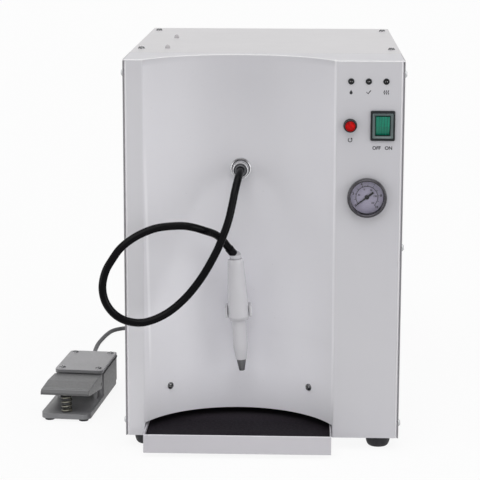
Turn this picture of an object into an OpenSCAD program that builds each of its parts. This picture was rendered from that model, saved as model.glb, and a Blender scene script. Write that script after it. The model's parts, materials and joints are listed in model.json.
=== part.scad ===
// Steam cleaner for dental work: a sheet-steel cabinet with a curved work bay, a steam hose with its
// handpiece, a drip tray and a foot pedal on a cable.
// The cabinet is laid out from the middle of its front plane at its bottom edge: X to the right,
// Y to the rear, Z up. The finished part is moved so that its origin is on the floor, in the middle
// of the ground that the cleaner and its pedal cover.

/* [Cabinet] */
// Width over the side panels
cab_w = 300; // [290:1:330]
// Depth from the front plane to the rear face
cab_d = 420; // [400:1:460]
// Height from the bottom edge to the top face
cab_h = 415; // [400:1:450]
// Thickness of the sheet steel
sheet = 1.2; // [0.8:0.1:1.6]
// Thickness of the base plate
base_t = 1.5; // [1:0.1:2]
// Radius of the folds that show
fold_r = 3; // [2:0.5:5]
// Width of the flanges folded inwards
flange_w = 18; // [16:1:22]
// Height of the flanges folded up from the base plate
base_flange_h = 22; // [18:1:26]
// Depth of the front panel's top flange, up to the seam of the top cover
seam_y = 81; // [76:1:95]
// Width of the open seam
seam_gap = 0.6; // [0.2:0.1:1.5]
// Diameter of a foot at its top
foot_d = 28; // [22:1:32]
// Diameter of a foot where it stands
foot_tip_d = 18; // [14:1:22]
// Height of a foot
foot_h = 14; // [10:1:20]
// Distance of a foot's middle from the cabinet's faces
foot_inset = 21.5; // [19:0.5:28]

/* [Work bay] */
// Width of the bay's mouth
bay_w = 206; // [196:1:214]
// Middle of the bay, from the middle of the cabinet
bay_x = -26; // [-30:1:-22]
// Depth of the bay at its middle
bay_depth = 66; // [60:1:70]
// Height of the bay wall's lower edge
bay_bottom = 14; // [13:0.5:20]
// Height of the hose fitting
fit_z = 289; // [270:1:300]
// Angle of the two bay screws from the bay's middle
bay_screw_angle = 43; // [38:1:48]
// Height of the two bay screws
bay_screw_z = 47; // [40:1:60]

/* [Drip tray] */
// Gap between the tray and its opening on each side
tray_gap = 1; // [0.6:0.1:2]
// How far the tray's front stands out of the cabinet
tray_out = 34; // [25:1:45]
// How far the tray reaches into the cabinet
tray_in = 122; // [100:1:140]
// Height of the tray's upper edge
tray_top = 11; // [9:0.5:12]
// How far the front lip hangs below the cabinet's bottom edge
tray_drop = 9; // [4:1:10]
// Thickness of the mat in the tray
mat_t = 3; // [2:0.5:4]

/* [Controls] */
// Place of the lamps and the gauge across the front
ctrl_x = 111.5; // [108:0.5:116]
// Distance of the lamps below the top face
lamp_drop = 22; // [17:1:30]
// Distance from lamp to lamp
lamp_pitch = 18.6; // [16:0.2:20]
// Diameter of a lamp's bezel
lamp_d = 6.8; // [6.6:0.2:9]
// Distance of the button and the switch below the top face
ctrl_drop = 69; // [60:1:80]
// Place of the button across the front
button_x = 92.5; // [90:0.5:95]
// Diameter of the button's bezel
button_d = 14.6; // [13.8:0.2:17]
// Travel of the button
button_travel = 3; // [2:0.5:4]
// Place of the switch across the front
switch_x = 127; // [124:0.5:130]
// Width of the switch's bezel
switch_w = 26; // [25:0.5:27]
// Height of the switch's bezel
switch_h = 32; // [29.5:0.5:34]
// Width of the rocker
rocker_w = 15; // [14:0.5:17]
// Height of the rocker's face
rocker_h = 19.5; // [18:0.5:20.5]
// Angle between the rocker's two faces and the switch's front
rocker_tilt = 10; // [8:1:12]
// Distance of the gauge below the top face
gauge_drop = 146.5; // [135:0.5:160]
// Diameter of the gauge's bezel
gauge_d = 42.4; // [40:0.2:46]

/* [Hose and handpiece] */
// Diameter of the steam hose
hose_d = 8.6; // [7.6:0.2:9.2]
// Place of the swivel ball across the front
hand_x = -31; // [-35:1:-27]
// Depth of the swivel ball in the bay
hand_y = 38; // [35:1:41]
// Height of the swivel ball
hand_z = 195; // [185:1:205]
// Sideways lean of the handpiece
hand_lean = 3.4; // [0:0.2:5]
// Diameter of the swivel ball
ball_d = 13; // [12:0.5:14]
// Length of the grip below the ball's middle
grip_len = 72; // [66:1:80]
// Diameter of the grip near the ball
grip_top_d = 18; // [17:0.5:20]
// Diameter of the grip at its thickest
grip_d = 24; // [22:0.5:26]
// Length of the front sleeve
sleeve_len = 45; // [38:1:50]
// Diameter of the front sleeve
sleeve_d = 16; // [14:0.5:18]
// Length of the nozzle
nozzle_len = 13; // [10:1:18]
// Diameter of the nozzle at the sleeve
nozzle_d = 11; // [9:0.5:13]
// Diameter of the nozzle's tip
nozzle_tip_d = 6; // [5:0.5:7]
// Height of the clip that holds the grip
clip_h = 12; // [8:1:14]
// Thickness of the clip's arms
clip_t = 2; // [1.5:0.5:3]

/* [Boiler] */
// Diameter of the boiler
boiler_d = 170; // [150:1:180]
// Height of the boiler
boiler_h = 240; // [220:1:250]
// Height of the boiler's bottom above the cabinet's bottom edge
boiler_z = 50; // [45:1:60]
// Wall of the boiler
boiler_wall = 2.5; // [2:0.5:4]
// Place of the boiler across the cabinet
boiler_x = -45; // [-50:1:-40]
// Place of the boiler from the front plane
boiler_y = 270; // [260:1:280]
// Length of the heater's hairpins
heater_len = 130; // [100:5:160]

/* [Foot pedal] */
// Width of the pedal
pedal_w = 58; // [56:1:66]
// Length of the pedal's base
pedal_len = 163; // [155:1:170]
// Place of the base's front edge across the front
pedal_x = -230; // [-240:0.5:-226]
// Place of the base's front edge from the front plane
pedal_y = 92; // [86:1:104]
// Turn of the pedal towards the cabinet
pedal_turn = 5.5; // [0:0.5:8]
// Height of the rubber pads
pad_h = 3; // [2:0.5:4]
// Thickness of the base
plinth_t = 6; // [5:0.5:8]
// Height of the switch housing above the base
case_h = 28; // [26:1:32]
// Length of the switch housing
case_len = 85; // [80:1:90]
// Wall of the switch housing
case_wall = 3; // [2.5:0.5:4]
// Thickness of the cover
lid_t = 4; // [3:0.5:5]
// Thickness of the pedal plate
plate_t = 4; // [3:0.5:5]
// Downward slope of the pedal plate at rest
plate_slope = 0.5; // [0:0.1:3]
// Diameter of the hinge pin
pin_d = 4; // [3:0.5:5]
// Diameter of the spring's wire
wire_d = 1.8; // [1.4:0.1:2]
// Mean diameter of the spring
spring_d = 10.5; // [9:0.5:12]
// Turns of the spring
spring_turns = 5; // [4:1:5]
// Diameter of the pedal's cable
cable_d = 5.5; // [5:0.1:5.8]

/* [Hidden] */
$fn = 64;

// Clearances: between moving pieces, round a running pin, round a fixed piece in its hole
fit_gap = 0.3;
run_gap = 0.05;
hole_gap = 0.1;
// Overlap of a cut past the face that it opens
cut = 1;

// Cabinet
half_w = cab_w / 2;
side_in = half_w - sheet;
top_z = cab_h - sheet;
rear_in = cab_d - sheet;
screw_d = 4;
screw_len = 8;
top_screw_x = half_w - flange_w / 2;
top_screw_ys = [seam_y + 47, cab_d - 38];
side_screw_y = flange_w * 0.55;
side_screw_zs = [15, cab_h / 2 + 4.5, cab_h - 15];
base_screw_ys = [cab_d * 0.45, cab_d - 60];
base_screw_z = base_t + base_flange_h / 2;
rear_screw_x = side_in - flange_w / 2;
rear_screw_zs = [base_t + base_flange_h + 20, cab_h / 2, cab_h - 30];
rear_flange_half = 90;
rear_low_screw_x = 60;
foot_stud_d = 4;
foot_stud_len = base_t - hole_gap;
foot_spots = [
  for (x = [-half_w + foot_inset, half_w - foot_inset], y = [foot_inset, cab_d - foot_inset]) [x, y]
];

// Work bay: a circle through the two edges of the mouth
bay_r = (pow(bay_w / 2, 2) + pow(bay_depth, 2)) / (2 * bay_depth);
bay_cy = bay_depth - bay_r;
fold_x = sqrt(pow(bay_r + fold_r, 2) - pow(fold_r - bay_cy, 2));
fold_out = unit([fold_x, fold_r - bay_cy]);
mouth_l = bay_x - bay_w / 2;
screw_seat = bay_r - sqrt(pow(bay_r, 2) - pow(screw_d, 2));

// Hose fitting, counted forwards from the bay wall
bulk_r = 11.5;
bulk_seat = bay_r - sqrt(pow(bay_r, 2) - pow(bulk_r, 2));
bulk_flange_t = 4.4;
bulk_bevel = 0.5;
bulk_barrel_d = 13;
bulk_tail = 18;
spigot_d = 14;
spigot_end = 11;
hose_nut_d = 19;
hose_nut_end = 16;
hose_from = [bay_x, bay_depth - spigot_end, fit_z];
hose_step = 7;

// Drip tray
tray_w = bay_w - 2 * tray_gap;
tray_floor_z = base_t + fit_gap;
hem = 3;

// Lamps, button and switch, counted forwards from the front plane
lamp_z = cab_h - lamp_drop;
ctrl_z = cab_h - ctrl_drop;
gauge_z = cab_h - gauge_drop;
lamp_barrel_d = 6;
lamp_lens_d = 4;
lamp_depth = 9;
bezel_t = 2.4;
button_barrel_d = 12.8;
button_cap_d = 10.6;
button_depth = 20;
button_rim = 8;
button_out = 9.4;
switch_body_w = 21.4;
switch_body_h = 27.4;
switch_depth = 22;
rocker_face = 3;
rocker_back = 5;
rocker_r = sqrt(pow(rocker_h / 2, 2) + pow(rocker_face, 2));
rocker_pin_d = 2.4;
rocker_pin_len = 1.6;

// Gauge, counted forwards from the front plane
gauge_bezel_t = 8;
gauge_rim = 3;
gauge_bore_r = gauge_d / 2 - gauge_rim + 0.6;
gauge_barrel_r = gauge_bore_r + 1.2;
gauge_back = 24;
dial_z = -3;
dial_t = 0.8;
glass_z = 5.6;
glass_t = 1.6;
needle_z = dial_z + dial_t + 1;
needle_t = 0.6;
needle_len = 14.5;
needle_tail = 8;
needle_rest = 218;
needle_pin_r = 0.8;
hub_r = 2.2;
stem_r = 5;
stem_end = gauge_back + 14;

// Swivel ball, its ferrule and the handpiece, counted down the handpiece from the ball's middle
ball = [hand_x, hand_y, hand_z];
ferrule_heading = 228;
ferrule_rise = 46;
ferrule_d = 9.6;
ferrule_len = 14;
ferrule_dir = [
  cos(ferrule_rise) * cos(ferrule_heading), cos(ferrule_rise) * sin(ferrule_heading), sin(ferrule_rise)
];
socket_r = ball_d / 2 + fit_gap;
grip_rim = 3;
grip_rim_r = grip_top_d / 2 - 1;
grip_round = 4;
clip_at = 62;
clip_half = grip_d / 2 + fit_gap;
clip_front = 6;
clip_back = grip_d / 2 + 0.6;
clip_stem_d = 12;
seat_gap = 0.05;

// Boiler and what stands on it
boiler_round = 18;
boiler_top = boiler_z + boiler_h;
boss_h = 6;
boss_r = 10;
port_r = 6;
port_h = 8;
stand_r = boiler_d / 2 - boiler_round - 4;
stand_t = 2;
heater_flange_r = 35;
heater_flange_t = 6;
heater_hole_r = 25;
heater_rod_r = 4;
heater_bend_r = 10;
heater_pitch = 12;
valve_w = 32;
valve_h = 22;
valve_outlet = 10;
pipe_d = 8;
thin_pipe_d = 5;
feed_z = 90;
feed_boss = 8;
safety_at = [-42, 0];
switch_at = [0, 45];
gauge_port_at = [45, -10];

// Pump, board and rear fittings
pump_x = 95;
pump_y = boiler_y + 20;
pump_w = 50;
pump_len = 90;
pump_h = 66;
pump_spigot = 8;
pump_foot_t = 5;
pump_head = 46;
pump_rib = 16;
motor_d = 44;
rear_z = 40;
board_y = seam_y + 50;
board_z = cab_h / 2;
board_len = 120;
board_h = 110;
board_t = 1.6;
board_post = 9;
board_post_d = 6;
relay_t = 15;
relay_w = 18;
relay_h = 28;
relay_step = 24;
relay_edge = 16;
relay_z = 60;
core_t = 28;
core_w = 34;
core_h = 36;
strip_t = 12;
strip_len = 44;
strip_h = 10;
strip_z = 20;
inlet_out = 20;
inlet_collar = 6;
inlet_tail_d = 8;
inlet_barrel_d = 12;
mains_x = 60;
mains_z = 120;
mains_w = 28;
mains_h = 20;
mains_flange = 3;
mains_depth = 24;
mains_cavity = 16;
mains_pin_len = 10;
gland_x = -40;
gland_d = 13;
gland_thread_d = gland_d - 3;
gland_len = 14;
gland_tail = 10;
gland_nose = 4;
gland_mouth_d = cable_d + 3;

// Pedal, counted from the middle of its front edge on the floor
plinth_top = pad_h + plinth_t;
case_y = pedal_len - case_len;
case_top = plinth_top + case_h;
lid_seat = 0.8;
lid_over = 4;
corner_r = 9;
post_r = 4.5;
pedal_pad_d = 12;
pedal_pad_in = 9;
hinge_y = case_y - 8;
hinge_z = case_top - 10.5;
ear_x = 20;
ear_t = 4;
ear_r = 5;
skirt_t = 3;
skirt_in = pedal_w / 2 - 0.5 - skirt_t;
plate_under = 6.5;
plate_rear = 4;
lip_low = 5.5;
plate_arch = 2;
nose_drop = 2.4;
nose_slope = 0.8;
lug_r = 5.5;
tongue_w = 10;
tongue_t = 2;
tongue_rise = 3;
tongue_reach = 22;
window_w = 14;
window_h = 7;
window_low = tongue_rise - 1;
micro_w = 28;
micro_len = 12;
spring_y = 10;
spring_arm = hinge_y - spring_y;
spring_top = hinge_z + plate_under * cos(plate_slope) - spring_arm * sin(plate_slope) - fit_gap;
spring_low = plinth_top + run_gap;
pedal_gland_z = 16;
pedal_gland_d = 12;
pedal_gland_len = 14;
lid_screw_in = 7;
lid_screw_rise = 0.36;

// Where the origin lies: on the floor, in the middle of the ground covered by cabinet and pedal
ground_l = pedal_x - pedal_w / 2 * cos(pedal_turn);
ground_r = half_w + screw_d * 0.6;
ground_f = -tray_out - sheet;
ground_b = cab_d + inlet_out;
frame_shift = [-(ground_l + ground_r) / 2, -(ground_f + ground_b) / 2, foot_h];

// Functions for tubes along a route
function unit(v) = v / norm(v);
function spline(p, i, t) =
  let (a = p[max(i - 1, 0)], b = p[i], c = p[i + 1], d = p[min(i + 2, len(p) - 1)])
  (2 * b + (c - a) * t + (2 * a - 5 * b + 4 * c - d) * t * t + (3 * b - a - 3 * c + d) * t * t * t) / 2;
function smooth_route(p, steps) = [
  for (i = [0 : len(p) - 2]) for (k = [0 : steps - 1]) spline(p, i, k / steps),
  p[len(p) - 1]
];
function heading(q, i) = unit(q[min(i + 1, len(q) - 1)] - q[max(i - 1, 0)]);
function across(v, t) = unit(v - (v * t) * t);
function sides_of(q, v, i = 0) =
  i == len(q) ? [] : let (n = across(v, heading(q, i))) concat([n], sides_of(q, n, i + 1));
function least_gap(q, apart, d) =
  min([for (i = [0 : len(q) - 1 - apart]) for (j = [i + apart : len(q) - 1]) norm(q[i] - q[j])]) - d;
function ease(t) = let (s = min(max(t, 0), 1)) s * s * (3 - 2 * s);

// Steam hose: out of the fitting, down, round in a loop to the left and back to the swivel ball
hose_route = concat(
  [for (k = [0 : 2]) hose_from - [0, hose_step * k, 0]],
  [
    [-26.9, 30.7, 286.5], [-28.5, 20.6, 280.6], [-30.8, 11.8, 270.9], [-33.1, 5.9, 259],
    [-37, -2, 242], [-43, -8, 225], [-51, -13, 207], [-65, -19, 183], [-82, -25, 162],
    [-102, -31, 145.9], [-124.1, -37.1, 137.6], [-142.4, -40.8, 139.2], [-156.6, -43, 147.3],
    [-166.1, -44.1, 160.8], [-169.2, -44, 176.9], [-166.1, -42.1, 193.1], [-159, -39, 206],
    [-149, -35, 219], [-133, -29, 230], [-113, -21, 237], [-90, -12.1, 238], [-76, -7.9, 236],
    [-63.4, -0.2, 230.9], [-51.6, 13, 224]
  ],
  [for (k = [2 : -1 : 0]) ball + (ferrule_len + hose_step * k) * ferrule_dir]
);

// Pedal cable: along the floor to the rear, a coil behind the cabinet, then up to the rear gland
cable_z = cable_d / 2 + fit_gap - foot_h;
coil_at = [-110, 492];
coil_turns = 5;
coil_pitch = cable_d + 0.6;
coil_out = 38;
pedal_dir = [sin(pedal_turn), cos(pedal_turn), 0];
pedal_exit = [pedal_x, pedal_y, pedal_gland_z - foot_h] + (pedal_len + pedal_gland_len) * pedal_dir;
function coil_point(u) =
  let (r = coil_out - coil_pitch * min(u, coil_turns - u), a = 90 - 360 * u)
  [coil_at[0] + r * cos(a), coil_at[1] + r * sin(a),
    cable_z + coil_pitch * ease((u - coil_turns / 2 + 0.25) * 2)];
coil_loops = [for (i = [0 : 24 * coil_turns]) coil_point(i / 24)];
coil_start_dir = unit(coil_loops[1] - coil_loops[0]);
coil_end_dir = unit(coil_loops[24 * coil_turns] - coil_loops[24 * coil_turns - 1]);
coil_start = coil_loops[0] - cable_d * coil_start_dir;
coil_end = coil_loops[24 * coil_turns] + cable_d * coil_end_dir;
coil_route = concat([coil_start], coil_loops, [coil_end]);
cable_route = concat(
  [for (k = [0 : 2]) pedal_exit + 12 * k * pedal_dir],
  [
    [-212, 312, 1], [-217.5, 336, -1], [-224.5, 361, -4], [-229, 388, -8], [-231, 415, cable_z],
    [-230.5, 441, cable_z], [-228, 466, cable_z], [-224.5, 490, cable_z], [-218.5, 512, cable_z],
    [-205, 526, cable_z], [-185, 530, cable_z], [-160, 530, cable_z]
  ],
  [for (k = [2 : -1 : 0]) coil_start - 12 * k * coil_start_dir]
);
gland_end = [gland_x, cab_d + gland_len, rear_z];
tail_route = concat(
  [for (k = [0 : 2]) coil_end + 7 * k * coil_end_dir],
  [[-72, 527, 1], [-56, 518, 12], [-46, 503, 24], [-41, 484, 34]],
  [for (k = [2 : -1 : 0]) gland_end + [0, 10 * k, 0]]
);

// Pedal spring: one unbroken wire with straight ends
spring_rise = spring_top - spring_low - wire_d;
function spring_point(u) = [
  spring_d / 2 * cos(360 * u), spring_d / 2 * sin(360 * u), wire_d / 2 + spring_rise * u / spring_turns
];
spring_curls = [for (i = [0 : 8 * spring_turns]) spring_point(i / 8)];
spring_route = concat(
  [spring_curls[0] - [0, wire_d, 0]], spring_curls, [spring_curls[8 * spring_turns] + [0, wire_d, 0]]
);
echo(coil_gap = least_gap(coil_route, 12, cable_d), spring_gap = least_gap(spring_route, 5, wire_d));

// Pipes inside the cabinet
valve_end = [boiler_x, boiler_y - valve_w / 2 - valve_outlet, boiler_top + boss_h + valve_h / 2];
bulk_end = [bay_x, bay_depth + bulk_tail, fit_z];
steam_route = concat(
  [for (k = [0 : 2]) bulk_end + [0, 9 * k, 0]],
  [for (t = [0.25, 0.5, 0.75]) bulk_end * (1 - t) + valve_end * t],
  [for (k = [2 : -1 : 0]) valve_end - [0, 9 * k, 0]]
);
gauge_end = [ctrl_x, stem_end, gauge_z];
port_end = [boiler_x + gauge_port_at[0], boiler_y + gauge_port_at[1], boiler_top + boss_h];
pipe_lead = 2.4 * thin_pipe_d;
pipe_bow = 5 * thin_pipe_d;
pipe_from = gauge_end + [0, 2 * pipe_lead, 0];
pipe_to = port_end + [0, 0, 2 * pipe_lead];
gauge_route = concat(
  [for (k = [0 : 2]) gauge_end + [0, pipe_lead * k, 0]],
  [for (t = [0.2 : 0.2 : 0.8]) pipe_from * (1 - t) + pipe_to * t + [0, 0, pipe_bow * t * sin(180 * t)]],
  [for (k = [2 : -1 : 0]) port_end + [0, 0, pipe_lead * k]]
);
feed_start = [boiler_x + boiler_d / 2 + feed_boss, boiler_y, feed_z];
feed_end = [pump_x, boiler_y, base_t + pump_h + pump_spigot];
feed_route = concat(
  [for (k = [0 : 2]) feed_start + [5 * k, 0, 0]],
  [[(feed_start[0] + feed_end[0]) / 2 + 8, boiler_y, feed_z + 16]],
  [for (k = [2 : -1 : 0]) feed_end + [0, 0, 6 * k]]
);

// Placing and shared shapes
module in_frame() {
  translate(frame_shift) children();
}

module in_pedal() {
  in_frame() translate([pedal_x, pedal_y, -foot_h]) rotate([0, 0, -pedal_turn]) children();
}

// Local Z comes forwards out of the front plane
module on_front(x, z, y = 0) {
  translate([x, y, z]) rotate([90, 0, 0]) children();
}

// Local Z runs to the rear
module to_rear(x, y, z) {
  translate([x, y, z]) rotate([-90, 0, 0]) children();
}

// Local Z runs to the right
module to_right(x, y, z) {
  translate([x, y, z]) rotate([0, 90, 0]) children();
}

// A flat section, local X to the rear and local Y up, made w wide about the middle
module side_slab(w) {
  translate([-w / 2, 0, 0]) rotate([90, 0, 90]) linear_extrude(w) children();
}

module tube(route, d, sides) {
  n = len(route);
  first = heading(route, 0);
  across_first = abs(first[2]) < 0.9 ? [0, 0, 1] : [1, 0, 0];
  normals = sides_of(route, across_first);
  points = [
    for (i = [0 : n - 1]) for (k = [0 : sides - 1])
      let (a = 360 * k / sides, v = normals[i], w = cross(heading(route, i), v))
        route[i] + d / 2 * (cos(a) * v + sin(a) * w)
  ];
  walls = [
    for (i = [0 : n - 2]) for (k = [0 : sides - 1])
      let (a = i * sides + k, b = i * sides + (k + 1) % sides)
        each [[a, a + sides, b + sides], [a, b + sides, b]]
  ];
  caps = [
    for (k = [1 : sides - 2])
      each [[0, k, k + 1], [(n - 1) * sides, (n - 1) * sides + k + 1, (n - 1) * sides + k]]
  ];
  polyhedron(points, concat(walls, caps));
}

// Pan-head screw: underside of the head at 0, head upwards, cross recess
module pan_screw(d, length, rise = 0.6) {
  head_r = d;
  head_h = rise * d;
  recess = 0.28 * d;
  difference() {
    union() {
      cylinder(r1 = head_r, r2 = head_r * 0.94, h = head_h * 0.5);
      translate([0, 0, head_h * 0.5]) cylinder(r1 = head_r * 0.94, r2 = head_r * 0.62, h = head_h * 0.5);
    }
    for (a = [0, 90]) rotate([0, 0, a + 20])
      translate([-head_r * 0.55, -recess / 2, head_h * 0.45]) cube([head_r * 1.1, recess, head_h]);
  }
  translate([0, 0, -length]) cylinder(d = d, h = length + head_h * 0.3);
}

module rounded_plate(w, l, h, r) {
  linear_extrude(h) {
    translate([-w / 2 + r, 0]) square([w - 2 * r, l]);
    translate([-w / 2, r]) square([w, l - 2 * r]);
    for (x = [-w / 2 + r, w / 2 - r], y = [r, l - r]) translate([x, y]) circle(r = r);
  }
}

module rounded_block(w, h, t, r) {
  translate([0, -h / 2, 0]) rounded_plate(w, h, t, r);
}

// Plan of what lies behind the front surface, drawn back by a wall thickness
module front_block(half, inset) {
  r = fold_r - inset;
  depth = bay_depth + flange_w;
  translate([-half + r, inset]) square([2 * (half - r), depth]);
  translate([-half, fold_r]) square([2 * half, depth]);
  for (s = [-1, 1]) translate([s * (half - r), fold_r]) circle(r = r);
}

module bay_cut(inset) {
  touch = [fold_out[0], fold_out[1]] * bay_r + [0, bay_cy];
  translate([bay_x, bay_cy]) circle(r = bay_r + inset, $fn = 128);
  for (s = [-1, 1]) translate([bay_x, 0]) polygon([
    [s * fold_x, fold_r], [s * fold_x, -cut], [s * (fold_x - 4 * fold_r), -cut], [s * touch[0], touch[1]]
  ]);
}

module front_plan(half, inset) {
  difference() {
    front_block(half, inset);
    bay_cut(inset);
  }
  for (s = [-1, 1]) translate([bay_x + s * fold_x, fold_r]) circle(r = fold_r - inset);
}

module front_sheet() {
  intersection() {
    difference() {
      front_plan(side_in, 0);
      front_plan(side_in - sheet, sheet);
    }
    union() {
      translate([-side_in, 0]) square([2 * side_in, flange_w]);
      translate([bay_x - bay_w / 2, 0]) square([bay_w, bay_depth + 2 * sheet]);
    }
  }
}

// Cabinet
module front_panel() {
  color("gainsboro") in_frame() difference() {
    union() {
      linear_extrude(cab_h) front_sheet();
      translate([0, 0, top_z]) linear_extrude(sheet) intersection() {
        front_plan(half_w, 0);
        translate([-half_w, 0]) square([cab_w, seam_y]);
      }
      for (x = [mouth_l - sheet, mouth_l + bay_w])
        translate([x, sheet / 2, base_t]) cube([sheet, bay_depth, bay_bottom - base_t]);
    }
    translate([mouth_l, -cut, -cut]) cube([bay_w, seam_y, bay_bottom + cut]);
    translate([-half_w, sheet, -cut]) cube([cab_w, seam_y, base_t + cut]);
    for (i = [-1, 0, 1]) on_front(ctrl_x + i * lamp_pitch, lamp_z, sheet + cut)
      cylinder(d = lamp_barrel_d + 2 * hole_gap, h = sheet + 2 * cut);
    on_front(button_x, ctrl_z, sheet + cut) cylinder(d = button_barrel_d + 2 * hole_gap, h = sheet + 2 * cut);
    on_front(ctrl_x, gauge_z, sheet + cut) cylinder(r = gauge_barrel_r + hole_gap, h = sheet + 2 * cut);
    on_front(switch_x, ctrl_z, sheet + cut)
      rounded_block(switch_body_w + 2 * hole_gap, switch_body_h + 2 * hole_gap, sheet + 2 * cut, hole_gap);
    on_front(bay_x, fit_z, bay_depth + 2 * sheet + cut)
      cylinder(d = bulk_barrel_d + 2 * hole_gap, h = 4 * sheet + 2 * cut);
    bay_screw_spots() screw_hole();
    side_front_spots() screw_hole();
  }
}

// Screw places: local Z points out of the metal, 0 is the face under the head
module bay_screw_spots() {
  for (s = [-1, 1]) translate([bay_x, bay_cy, bay_screw_z]) rotate([0, 0, -s * bay_screw_angle])
    translate([0, bay_r - screw_seat, 0]) rotate([90, 0, 0]) children();
}

module side_front_spots() {
  for (s = [-1, 1], z = side_screw_zs)
    translate([s * half_w, side_screw_y, z]) rotate([0, s * 90, 0]) children();
}

module side_base_spots() {
  for (s = [-1, 1], y = base_screw_ys)
    translate([s * half_w, y, base_screw_z]) rotate([0, s * 90, 0]) children();
}

module top_spots() {
  for (s = [-1, 1], y = top_screw_ys) translate([s * top_screw_x, y, cab_h]) children();
}

module rear_spots() {
  for (s = [-1, 1], z = rear_screw_zs) to_rear(s * rear_screw_x, cab_d, z) children();
  for (s = [-1, 1]) to_rear(s * rear_low_screw_x, cab_d, base_screw_z) children();
}

module screw_hole() {
  translate([0, 0, -screw_len]) cylinder(d = screw_d + 2 * hole_gap, h = screw_len + cut);
}

// Right-hand side panel, mirrored for the left
module side_panel() {
  difference() {
    union() {
      translate([side_in, 0, 0]) cube([sheet, cab_d, top_z]);
      translate([side_in - flange_w, flange_w + sheet, top_z - sheet])
        cube([flange_w + sheet, rear_in - flange_w - sheet, sheet]);
      translate([side_in - flange_w, rear_in - sheet, base_t + base_flange_h + sheet])
        cube([flange_w + sheet, sheet, top_z - base_t - base_flange_h - sheet]);
    }
    side_front_spots() screw_hole();
    side_base_spots() screw_hole();
    top_spots() screw_hole();
    rear_spots() screw_hole();
  }
}

module left_side_panel() {
  color("gainsboro") in_frame() mirror([1, 0, 0]) side_panel();
}

module right_side_panel() {
  color("gainsboro") in_frame() side_panel();
}

module top_cover() {
  color("whitesmoke") in_frame() difference() {
    translate([-half_w, seam_y + seam_gap, top_z]) cube([cab_w, cab_d - seam_y - seam_gap, sheet]);
    top_spots() screw_hole();
  }
}

module rear_panel() {
  slots = 8;
  slot_w = 70;
  slot_h = 4;
  slot_step = 11;
  slot_z = cab_h * 0.62;
  color("gainsboro") in_frame() difference() {
    translate([-side_in, rear_in, 0]) cube([2 * side_in, sheet, top_z]);
    rear_spots() screw_hole();
    for (x = [-slot_w - slot_step, slot_step], i = [0 : slots - 1])
      translate([x, rear_in - cut, slot_z + i * slot_step]) cube([slot_w, sheet + 2 * cut, slot_h]);
    to_rear(pump_x, rear_in - cut, rear_z)
      cylinder(d = inlet_barrel_d + 2 * hole_gap, h = sheet + 2 * cut);
    to_rear(gland_x, rear_in - cut, rear_z)
      cylinder(d = gland_thread_d + 2 * hole_gap, h = sheet + 2 * cut);
    translate([mains_x - mains_w / 2 - hole_gap, rear_in - cut, mains_z - mains_h / 2 - hole_gap])
      cube([mains_w + 2 * hole_gap, sheet + 2 * cut, mains_h + 2 * hole_gap]);
  }
}

module base_plate() {
  flange_y = flange_w + sheet;
  color("darkgray") in_frame() difference() {
    union() {
      translate([-side_in, sheet, 0]) cube([2 * side_in, rear_in - sheet, base_t]);
      for (x = [-side_in, side_in - sheet]) translate([x, flange_y, 0])
        cube([sheet, rear_in - flange_y - 2 * sheet, base_t + base_flange_h]);
      translate([-rear_flange_half, rear_in - sheet, 0])
        cube([2 * rear_flange_half, sheet, base_t + base_flange_h]);
    }
    side_base_spots() screw_hole();
    rear_spots() screw_hole();
    for (p = foot_spots) translate([p[0], p[1], -cut])
      cylinder(d = foot_stud_d + 2 * hole_gap, h = base_t + 2 * cut);
  }
}

module feet() {
  bowl = [for (a = [0 : 15 : 90])
    [foot_tip_d / 2 + (foot_d - foot_tip_d) / 2 * sin(a) * 0.9, -foot_h + foot_h * 0.7 * (1 - cos(a))]];
  color("dimgray") in_frame() for (p = foot_spots) translate([p[0], p[1], 0]) {
    rotate_extrude() polygon(concat([[0, -foot_h]], bowl, [[foot_d / 2, 0], [0, 0]]));
    translate([0, 0, -foot_h / 2]) cylinder(d = foot_stud_d, h = foot_h / 2 + foot_stud_len);
  }
}

module top_screws() {
  color("dimgray") in_frame() top_spots() pan_screw(screw_d, screw_len);
}

module side_screws() {
  color("gray") in_frame() {
    side_front_spots() pan_screw(screw_d, screw_len);
    side_base_spots() pan_screw(screw_d, screw_len);
  }
}

module bay_screws() {
  color("dimgray") in_frame() bay_screw_spots() pan_screw(screw_d, screw_len);
}

module rear_screws() {
  color("gray") in_frame() rear_spots() pan_screw(screw_d, screw_len);
}

// Drip tray: a folded pan whose front lip stands out of the cabinet
module drip_tray() {
  color("lightgray") in_frame() translate([bay_x, 0, 0]) {
    difference() {
      translate([-tray_w / 2, -tray_out, tray_floor_z])
        cube([tray_w, tray_out + tray_in, tray_top - tray_floor_z]);
      translate([-tray_w / 2 + sheet, -tray_out + sheet, tray_floor_z + sheet])
        cube([tray_w - 2 * sheet, tray_out + tray_in - 2 * sheet, tray_top]);
    }
    translate([-tray_w / 2, -tray_out - sheet, -tray_drop]) cube([tray_w, sheet, tray_top + tray_drop]);
    translate([-tray_w / 2, -tray_out - sheet, tray_top - sheet]) cube([tray_w, hem, sheet]);
  }
}

module tray_mat() {
  edge = sheet + fit_gap;
  color([0.13, 0.13, 0.14]) in_frame()
    translate([bay_x - tray_w / 2 + edge, -tray_out + hem, tray_floor_z + sheet])
      cube([tray_w - 2 * edge, tray_out + tray_in - hem - edge, mat_t]);
}

// Hose fitting in the bay wall
module bulkhead_fitting() {
  low = bulk_seat + seat_gap;
  top = bulk_seat + bulk_flange_t;
  color("silver") in_frame() on_front(bay_x, fit_z, bay_depth) rotate_extrude() polygon([
    [0, -bulk_tail], [bulk_barrel_d / 2, -bulk_tail], [bulk_barrel_d / 2, low], [bulk_r, low],
    [bulk_r, top - bulk_bevel], [bulk_r - bulk_bevel, top], [spigot_d / 2, top],
    [spigot_d / 2, spigot_end], [0, spigot_end]
  ]);
}

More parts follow.
